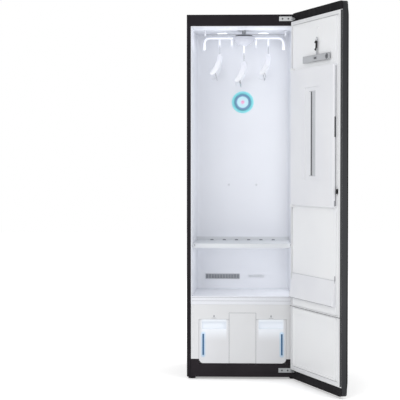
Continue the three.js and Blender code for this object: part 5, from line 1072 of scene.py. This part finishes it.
def by_height(name, stops, roughness, metal, gloss=0.5):
    """A material whose tone changes from the foot to the top of the door; on the mirror it is a painted
    reflection and down the press cover's edge a painted shadow.
    """
    made, tree, shader = start_finish(name)
    cloud = grain(tree, 3.0, detail=1.0)
    wander = figure(tree, "MULTIPLY", figure(tree, "SUBTRACT", cloud, 0.5), TONE_WANDER)
    uneven = figure(tree, "ADD", height_share(tree), wander)
    fed(tree, shader, {"Base Color": shades(tree, uneven, stops), "Metallic": metal,
                       "Specular IOR Level": gloss})
    uneven_gloss(tree, shader, scale=60.0, low=roughness * 0.85, high=roughness * 1.15, stretch=BRUSHED)
    return made


def smooth_share(share):
    """A share that starts and ends its rise from 0 to 1 softly."""
    return share * share * (3 - 2 * share)


def free_rail():
    """Points and faces of the free side's rail: its rounded front edge turns round both ends."""
    low, high = closed_reach("side_rail_free")
    corner = (low.x + RAIL_CORNER, low.z + RAIL_CORNER)
    stations = [((high.x, low.z), (0.0, 1.0), RAIL_FOOT_ROUND)]
    for k in range(BEND_STEPS + 1):
        share = k / BEND_STEPS
        inward = (math.sin(math.pi / 2 * share), math.cos(math.pi / 2 * share))
        growth = smooth_share(min(1.0, share * RAIL_GROWTH))
        place = (corner[0] - RAIL_CORNER * inward[0], corner[1] - RAIL_CORNER * inward[1])
        stations.append((place, inward, RAIL_FOOT_ROUND + (RAIL_END_ROUND - RAIL_FOOT_ROUND) * growth))
    for k in range(1, RAIL_RUN_STEPS + 1):
        place = (low.x, corner[1] + RAIL_END_RUN * k / RAIL_RUN_STEPS)
        radius = RAIL_END_ROUND + (RAIL_ROUND - RAIL_END_ROUND) * smooth_share(k / RAIL_RUN_STEPS)
        stations.append((place, (1.0, 0.0), radius))
    for (x, z), (in_x, in_z), radius in reversed(stations[:]):
        stations.append(((x, low.z + high.z - z), (in_x, -in_z), radius))
    places, points = {}, []

    def point_number(spot):
        key = tuple(round(value * 1e6) for value in spot)
        if key not in places:
            places[key] = len(points)
            points.append(Vector(spot))
        return places[key]

    rings = []
    for (x, z), (in_x, in_z), radius in stations:
        back = (x + in_x * RAIL_BACK_EASE, high.y, z + in_z * RAIL_BACK_EASE)
        row = [back, (x, high.y - RAIL_BACK_EASE, z)]
        for turn in angles(0.0, math.pi / 2, 8):
            inset = radius * (1 - math.cos(turn))
            row.append((x + in_x * inset, low.y + radius * (1 - math.sin(turn)), z + in_z * inset))
        row += [(high.x, low.y, z + in_z * radius), (high.x, high.y, back[2])]
        rings.append([point_number(spot) for spot in row])
    return points, [face for near, far in zip(rings, rings[1:]) for face in stitched(near, far)]


door_black = by_height("door black", CORE_TONES, 0.6, metal=0.0, gloss=0.03)
dressed("door_core", door_black, CORE_EASE, steps=3)
# The rail's colour is painted: shade on its side, a reflection on its front, and a black band of painted
# shade where the side meets the front, which is also kept free of metal.
rail_grey, tree, shader = start_finish("rail grey")
share = height_share(tree)
depth = towards_mirror(tree)
side_shade = shades(tree, share, RAIL_SIDE_SHADE_TONES)
front_reflection = shades(tree, share, RAIL_FRONT_REFLECTION_TONES)
in_edge_shade = rising(tree, depth, *RAIL_EDGE_SHADE_START)
past_edge_shade = rising(tree, depth, *RAIL_EDGE_SHADE_END)
edged = blended(tree, in_edge_shade, side_shade, RAIL_EDGE_SHADE_TONE)
outside_edge_shade = figure(tree, "SUBTRACT", 1.0, figure(tree, "SUBTRACT", in_edge_shade, past_edge_shade))
fed(tree, shader, {
    "Base Color": blended(tree, past_edge_shade, edged, front_reflection), "Specular IOR Level": 0.1,
    "Metallic": figure(tree, "MULTIPLY", outside_edge_shade, RAIL_METAL),
})
uneven_gloss(tree, shader, scale=60.0, low=0.30, high=0.38, stretch=BRUSHED)
dressed("side_rail_hinge", rail_grey, RAIL_EASE, steps=4)
moulding = door_piece("free_rail", free_rail(), rail_grey, "door", "rail_aluminium")
moulding.modifiers.new("even shading", "WEIGHTED_NORMAL").keep_sharp = True
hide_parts("side_rail_free")
# The mirror's tone, dark at the foot and light at the top, is a painted reflection.
mirror_painted_reflection = by_height("mirror glass", MIRROR_REFLECTION_TONES, 0.035, metal=1.0)
dressed("mirror_glass", mirror_painted_reflection, MIRROR_EASE, steps=3)
finished("display_module", moulded_black)
glass_face = closed_reach("mirror_glass")[0].y
sign_light = glowing("sign light", "#eef4f8", 0.5)
key = lathe(bulged(KEY_RADIUS, SIGN_PROUD), steps=24)
for number, (x, height) in enumerate(KEY_PLACES, 1):
    door_piece("touch_key_%d" % number, placed(key, (x, glass_face, height), FACING_FRONT), sign_light,
               "door", "lamp_diffuser")
sign_x, sign_z, sign_wide, sign_high = FRAME_SIGN
frame_up, frame_across = (sign_high - SIGN_LINE) / 2, (sign_wide - SIGN_LINE) / 2
strokes = [(sign_x, sign_z + way * frame_up, sign_wide, SIGN_LINE) for way in (1, -1)]
strokes += [(sign_x + way * frame_across, sign_z, SIGN_LINE, sign_high) for way in (-1, 1)]
strokes += [(x, height, wide, SIGN_LINE) for x, height, wide in SIGN_BARS]
sign_run = (glass_face - SIGN_PROUD, glass_face + SIGN_SUNK)
signs = [face_block(*stroke, *sign_run, MARK_EASE, steps=1) for stroke in strokes]
door_piece("display_signs", together(*signs), sign_light, "door", "lamp_diffuser")


# Door liner. A white panel with two raised fields inside a flat flange, the lugs of the
# press cover and the peg of the trouser hanger. A soft grey gasket runs round it, with a
# dark rib and a soft flap across at the height of the chamber's sill.
LINER_SHADE_START = 0.597
GASKET_SHADE_START = 0.5925
EDGE_SHADE_TONE = "#3c3d3f"
DOOR_LINER_EASE = 0.002
GASKET_EASE = 0.001
SEAL_RIB = ((0.0035, 0.5955), (0.0088, 0.0105), (0.3895, 0.3925), 0.0005)
SEAL_FLAP = ((0.0035, 0.585), (0.0050, 0.0100), (0.3927, 0.3972), 0.0010)

# The liner and the gasket turn dark in their last millimetres next to the free rail: painted shade.
door_white = shade_edged("door white", "#eff0f1", "#ecedef", EDGE_SHADE_TONE, LINER_SHADE_START, 0.36)
dressed("door_liner", door_white, DOOR_LINER_EASE)
gasket_pale = shade_edged("gasket pale", "#e1e2e4", "#dadbdd", EDGE_SHADE_TONE, GASKET_SHADE_START, 0.65)
dressed("door_gasket", gasket_pale, GASKET_EASE)
rubber_dark = surface("rubber dark", "#222326", "#1a1b1d", 0.7)
door_piece("seal_rib", door_block(*SEAL_RIB), rubber_dark, "door", "gasket")
door_piece("seal_flap", door_block(*SEAL_FLAP), gasket_pale, "door", "gasket")


# Press cover. A thick white panel on two pins, with a shallow channel and a steam slot, held
# shut by a push button, and a stop at its back. The slot's two lips, the ticks at its ends and
# the grey strip beside it are painted shade; so are the black block in the grip recess of its
# free edge and the grey strip down that edge's back.
PRESS_EASE = 0.002
BUTTON_EASE = 0.001
CHANNEL_FACE = 0.019
STEAM_SLOT_U = (0.278, 0.302)
STEAM_SLOT_Z = (1.089, 1.517)
SLOT_SHADE_WIDTH = 0.0034
SLOT_SHADE_GAP = 0.0004
SLOT_SHADE_PROUD = (-0.010, 0.0006)
SHADE_STRIP_EASE = 0.0006
SLOT_END_U = (0.258, 0.334)
SLOT_END_HEIGHT = 0.0022
SLOT_END_GAP = 0.001
SLOT_END_PROUD = (-0.001, 0.0006)
FLOOR_PROUD = (-0.0075, -0.0045)
FLOOR_EASE = 0.0008
SHADE_STRIP_U = (0.3045, 0.3330)
SHADE_STRIP_PROUD = (-0.001, 0.0005)
STRIP_EASE = 0.0005
EDGE_SHADOW_U = (0.5405, 0.5463)
EDGE_SHADOW_PROUD = (0.0004, 0.0044)
EDGE_SHADOW_Z = (0.940, 1.633)
EDGE_SHADOW_TONES = ((0.48, "#5a5b5f"), (0.66, "#626468"), (0.80, "#7c7e82"), (1.0, "#8b8d91"))
EDGE_STOP_U = (0.5405, 0.5467)
EDGE_STOP_PROUD = (0.0055, 0.0115)
EDGE_STOP_Z = (0.006, 0.034)
GRIP_EASE = 0.0012
# A black block in the grip recess of the free edge, standing for the shade inside it.
GRIP_SHADE_BLOCK = ((0.5382, 0.5455), (0.0068, 0.0158), (1.2805, 1.3815), GRIP_EASE)


def shifted(span, start):
    """A pair of distances, counted from another start."""
    return tuple(start + value for value in span)


press_white = surface("press white", "#e8e9ec", "#e4e5e9", 0.4)
dressed("press_cover", press_white, PRESS_EASE)
dressed("press_release_button", moulded_black, BUTTON_EASE)
dark_trim_and_shade = surface("dark trim and shade", "#5f6165", "#54565a", 0.5)
pale_trim_and_shade = surface("pale trim and shade", "#9fa1a6", "#94969b", 0.5)
joint_and_shade_grey = surface("joint and shade grey", "#c6c8cc", "#bfc1c5", 0.5)
# A grey strip down the back of the cover's free edge, darker towards the foot: painted shadow.
edge_shadow_grey = by_height("edge shadow grey", EDGE_SHADOW_TONES, 0.55, metal=0.0)
# The slot's lips, the ticks at its ends and the grey strip beside it paint the shade on the slot's walls and
# in its channel.
slot_hinge, slot_free = STEAM_SLOT_U
slot_run = (STEAM_SLOT_Z[0] + SHADE_STRIP_EASE, STEAM_SLOT_Z[1] - SHADE_STRIP_EASE)
slot_shade_proud = shifted(SLOT_SHADE_PROUD, CHANNEL_FACE)
hinge_slot_shade = ((slot_hinge + SLOT_SHADE_GAP, slot_hinge + SLOT_SHADE_WIDTH), slot_shade_proud, slot_run, SHADE_STRIP_EASE)
free_slot_shade = ((slot_free - SLOT_SHADE_WIDTH, slot_free - SLOT_SHADE_GAP), slot_shade_proud, slot_run, SHADE_STRIP_EASE)
ends = [(SLOT_END_U, shifted(SLOT_END_PROUD, CHANNEL_FACE), (z, z + SLOT_END_HEIGHT), STRIP_EASE)
        for z in (STEAM_SLOT_Z[1] + SLOT_END_GAP, STEAM_SLOT_Z[0] - SLOT_END_HEIGHT - SLOT_END_GAP)]
floor_u = (slot_hinge + SLOT_SHADE_WIDTH + SHADE_STRIP_EASE, slot_free - SLOT_SHADE_WIDTH - SHADE_STRIP_EASE)
slot_floor = (floor_u, shifted(FLOOR_PROUD, CHANNEL_FACE), slot_run, FLOOR_EASE)
strip = (SHADE_STRIP_U, shifted(SHADE_STRIP_PROUD, CHANNEL_FACE), slot_run, STRIP_EASE)
press_low = closed_reach("press_cover")[0]
press_back = press_low.y - INNER_PLANE
edge_shadow = (EDGE_SHADOW_U, shifted(EDGE_SHADOW_PROUD, press_back), EDGE_SHADOW_Z, SHADE_STRIP_EASE)
edge_stop = (EDGE_STOP_U, shifted(EDGE_STOP_PROUD, press_back), shifted(EDGE_STOP_Z, press_low.z), GRIP_EASE)
for name, blocks, material, slot in (
    ("steam_grille", [slot_floor], press_white, "liner_white"),
    ("steam_slot_shade_hinge", [hinge_slot_shade], dark_trim_and_shade, "grey_plastic"),
    ("steam_slot_shade_free", [free_slot_shade, *ends], pale_trim_and_shade, "grey_plastic"),
    ("press_grip_shade", [GRIP_SHADE_BLOCK], moulded_black, "black_plastic"),
    ("steam_slot_side_shade", [strip], joint_and_shade_grey, "grey_plastic"),
    ("press_edge_shadow", [edge_shadow], edge_shadow_grey, "grey_plastic"),
    ("press_edge_stop", [edge_stop], pale_trim_and_shade, "grey_plastic"),
):
    shape = together(*[door_block(*sizes) for sizes in blocks])
    door_piece(name, shape, material, "press_cover", slot)


# Hem guide. A flared white deflector at the foot of the upper field, with a fine joint
# over it. The grey line under it and the grey block at its free end are painted shade.
HEM_EASE = 0.0025
HEM_JOINT = ((0.031, 0.5425), (0.0062, 0.0083), (0.5682, 0.5700), 0.0005)
HEM_SHADOW_LINE = ((0.0315, 0.5420), (0.0245, 0.0276), (0.4402, 0.4428), 0.0007)
HEM_END_SHADE = ((0.5365, 0.5405), (0.0055, 0.0105), (0.5440, 0.5920), 0.0012)

dressed("hem_guide", press_white, HEM_EASE)
# The foot line and the cheek are painted shade: under the hem and at its free end.
for name, sizes, material in (
    ("joint", HEM_JOINT, joint_and_shade_grey), ("foot", HEM_SHADOW_LINE, pale_trim_and_shade), ("cheek", HEM_END_SHADE, pale_trim_and_shade),
):
    door_piece("hem_" + name, door_block(*sizes), material, "door", "grey_plastic")


# Trouser hanger. A wire hook over the peg, joined to the clamp by a black moulded swivel,
# then a grey clamp bar and its sprung jaw, with a catch in the middle and a turn knob.
CLAMP_HOOK_WIRE = 0.0021
CLAMP_HOOK_RADIUS = 0.009
APEX_DROP = 0.0026
SWIVEL_WIRE = 0.0054
SWIVEL_KNOTS = ((0.0105, -0.030), (0.0085, -0.0225), (0.0020, -0.0215), (-0.0005, -0.029), (0.0, -0.046),
                (0.0015, -0.057), (0.0070, -0.0625), (0.0125, -0.0595))
SWIVEL_DEPTH = 0.0015
HOOK_STEM = 0.050
CLAMP_EASE = 0.0012
CATCH = (0.0300, 0.0100)
CATCH_EASE = 0.0008
SLIP_HALF = 0.035
SLIP_BAND = (0.0065, 0.0083)
SLIP_EASE = 0.0004
KNOB_FROM_END = 0.017
KNOB_RADIUS = 0.0140
KNOB_FLOOR = 0.0003
MARK_LIFT = 0.0012
FACING_BACK = Matrix.Rotation(math.radians(-90.0), 3, "X")

clamp_low, clamp_high = closed_reach("trouser_clamp")
jaw_low, jaw_high = closed_reach("clamp_jaw")
jaw_face, jaw_middle = jaw_high.y, (jaw_low.z + jaw_high.z) / 2
hook_low, hook_high = closed_reach("trouser_hook")
apex = Vector(((clamp_low.x + clamp_high.x) / 2, (hook_low.y + hook_high.y) / 2, hook_high.z - APEX_DROP))
hook_knots = [(0.0, 0.0, -HOOK_STEM), (0.0, 0.0, -CLAMP_HOOK_RADIUS * 2)]
hook_knots += [(across * CLAMP_HOOK_RADIUS, 0.0, up * CLAMP_HOOK_RADIUS) for across, up in HOOK_TURNS]
over_peg = placed(rod_along(smooth_line(hook_knots), CLAMP_HOOK_WIRE, sides=14, cap=0.5), apex)
hook_pale = surface("hook pale", "#b9bcc0", "#abaeb2", 0.4)
wire = door_piece("clamp_hook_wire", over_peg, hook_pale, "trouser_hanger", "plated_steel")
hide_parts("trouser_hook")
swivel_knots = [(across, SWIVEL_DEPTH, up) for across, up in SWIVEL_KNOTS]
swivel = placed(rod_along(smooth_line(swivel_knots), SWIVEL_WIRE, sides=18, cap=0.6), apex)
door_piece("clamp_swivel", swivel, moulded_black, "trouser_hanger", "black_plastic")
clamp_grey = surface("clamp grey", "#b4b6b9", "#a8aaad", 0.4)
for node in ("trouser_clamp", "clamp_jaw"):
    dressed(node, clamp_grey, CLAMP_EASE)
catch = face_block(apex.x, jaw_middle, *CATCH, jaw_face - SUNK, jaw_face + MARK_LIFT, CATCH_EASE)
slip = soft_block((apex.x - SLIP_HALF, jaw_face - SUNK, jaw_middle + SLIP_BAND[0]),
                  (apex.x + SLIP_HALF, jaw_face + MARK_LIFT * 0.5, jaw_middle + SLIP_BAND[1]), SLIP_EASE)
knob_line = [(0.0, -SUNK), (KNOB_RADIUS, -SUNK), (KNOB_RADIUS, MARK_LIFT * 0.6),
             (KNOB_RADIUS - 0.001, MARK_LIFT), (KNOB_RADIUS * 0.62, MARK_LIFT),
             (KNOB_RADIUS * 0.55, KNOB_FLOOR), (0.0, KNOB_FLOOR)]
knob = placed(lathe(knob_line, steps=32), (clamp_low.x + KNOB_FROM_END, jaw_face, jaw_middle), FACING_BACK)
for name, shape, material in (
    ("clamp_catch", catch, dark_trim_and_shade), ("clamp_slip", slip, pale_trim_and_shade), ("clamp_knob", knob, dark_trim_and_shade),
):
    door_piece(name, shape, material, "clamp_jaw", "grey_plastic")


# Room. A plain pale floor under a white surround, lit by large soft lamps. The smaller
# lamps stand for the chamber's own: its ceiling lenses, its ring and the daylight in it.
FLOOR_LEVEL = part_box("foot_front_left")[0].z
FLOOR_HALF = 14.0
FLOOR_LIFT = 0.35
SURROUND_LEVEL = 0.78
WHITE = (1.0, 1.0, 1.0)
LAMPS = (
    ("front lamp", (-1.4, -5.6, 3.0), (0.0, 0.0, 1.0), (2.6, 2.6), 74.0, WHITE),
    ("side lamp", (3.4, -4.0, 2.2), (0.2, -0.4, 1.0), (2.0, 2.0), 66.0, WHITE),
    ("rear lamp", (-2.0, 4.5, 3.2), (0.0, 0.0, 1.0), (2.5, 2.5), 60.0, WHITE),
    ("opening light", (0.0, -0.262, 1.26), (0.0, 0.2, 1.26), (0.50, 1.10), 0.04, WHITE),
    ("foot light", (0.06, -0.262, 0.545), (0.06, 0.2, 0.545), (0.50, 0.26), 0.20, WHITE),
    ("ceiling wash", (0.0, -0.150, 1.76), (0.0, -0.125, 2.0), (0.50, 0.18), 0.34, (0.97, 0.98, 1.0)),
    ("shelf wash", (0.0, -0.05, 0.56), (0.0, -0.05, 1.0), (0.46, 0.26), 0.22, WHITE),
    ("floor wash", (0.0, -0.05, 0.60), (0.0, -0.05, 0.0), (0.46, 0.26), 0.10, WHITE),
    ("side wash", (0.258, -0.08, 1.25), (-1.0, -0.08, 1.25), (0.30, 1.10), 0.98, WHITE),
    ("side wash low", (0.258, -0.08, 0.56), (-1.0, -0.08, 0.56), (0.30, 0.24), 0.17, WHITE),
    ("lens light", (0.0, 0.02, 1.868), (0.0, 0.02, 0.0), (0.40, 0.10), 0.14, (0.98, 0.99, 1.0)),
    ("ring spill", (0.0, 0.12, 1.50), (0.0, -1.0, 1.50), (0.12, 0.12), 0.03, (0.6, 0.95, 1.0)),
)


def split_by_ray(tree, share, plain, seen, output):
    """Shows one shader to the rays that a share names, and a plainer one to all others."""
    choice = added(tree, "MixShader", {"Fac": share, 1: plain, 2: seen})
    fed(tree, tree.nodes[output], {"Surface": choice.outputs["Shader"]})


floor_mesh = bpy.data.meshes.new("floor")
floor_mesh.from_pydata(
    [(x * FLOOR_HALF, y * FLOOR_HALF, FLOOR_LEVEL) for x, y in ((-1, -1), (1, -1), (1, 1), (-1, 1))],
    [], [(0, 1, 2, 3)],
)
floor = in_scene("floor", floor_mesh)
floor_pale, tree, shader = start_finish("floor pale")
pale = between(tree, grain(tree, 1.5), "#f2f2f2", "#f5f5f5")
fed(tree, shader, {"Base Color": pale, "Roughness": 0.9, "Specular IOR Level": 0.1})
plain = shader.outputs["BSDF"]
lift = added(tree, "Emission", {"Strength": FLOOR_LIFT})
lifted = added(tree, "AddShader", {0: plain, 1: lift.outputs["Emission"]})
path = added(tree, "LightPath", {})
split_by_ray(tree, path.outputs["Is Camera Ray"], plain, lifted.outputs["Shader"], "Material Output")
floor_mesh.materials.append(floor_pale)

surround = bpy.data.worlds.new("surround")
surround.use_nodes = True
bpy.context.scene.world = surround
tree = surround.node_tree
lit = fed(tree, tree.nodes["Background"], {"Color": (*WHITE, 1.0), "Strength": SURROUND_LEVEL})
seen = added(tree, "Background", {"Color": (*WHITE, 1.0), "Strength": 1.0})
path = added(tree, "LightPath", {})
seen_ray = figure(tree, "MAXIMUM", path.outputs["Is Camera Ray"], path.outputs["Is Glossy Ray"])
split_by_ray(tree, seen_ray, lit.outputs["Background"], seen.outputs["Background"], "World Output")

for name, place, aim, (width, height), power, colour in LAMPS:
    light = bpy.data.lights.new(name, "AREA")
    light.shape = "RECTANGLE"
    light.size = width
    light.size_y = height
    light.energy = power
    light.color = colour
    lamp = in_scene(name, light)
    lamp.location = place
    lamp.rotation_euler = (Vector(aim) - Vector(place)).to_track_quat("-Z", "Y").to_euler()
    lamp.visible_camera = False
    lamp.visible_glossy = False

bpy.context.scene.view_settings.view_transform = "Standard"
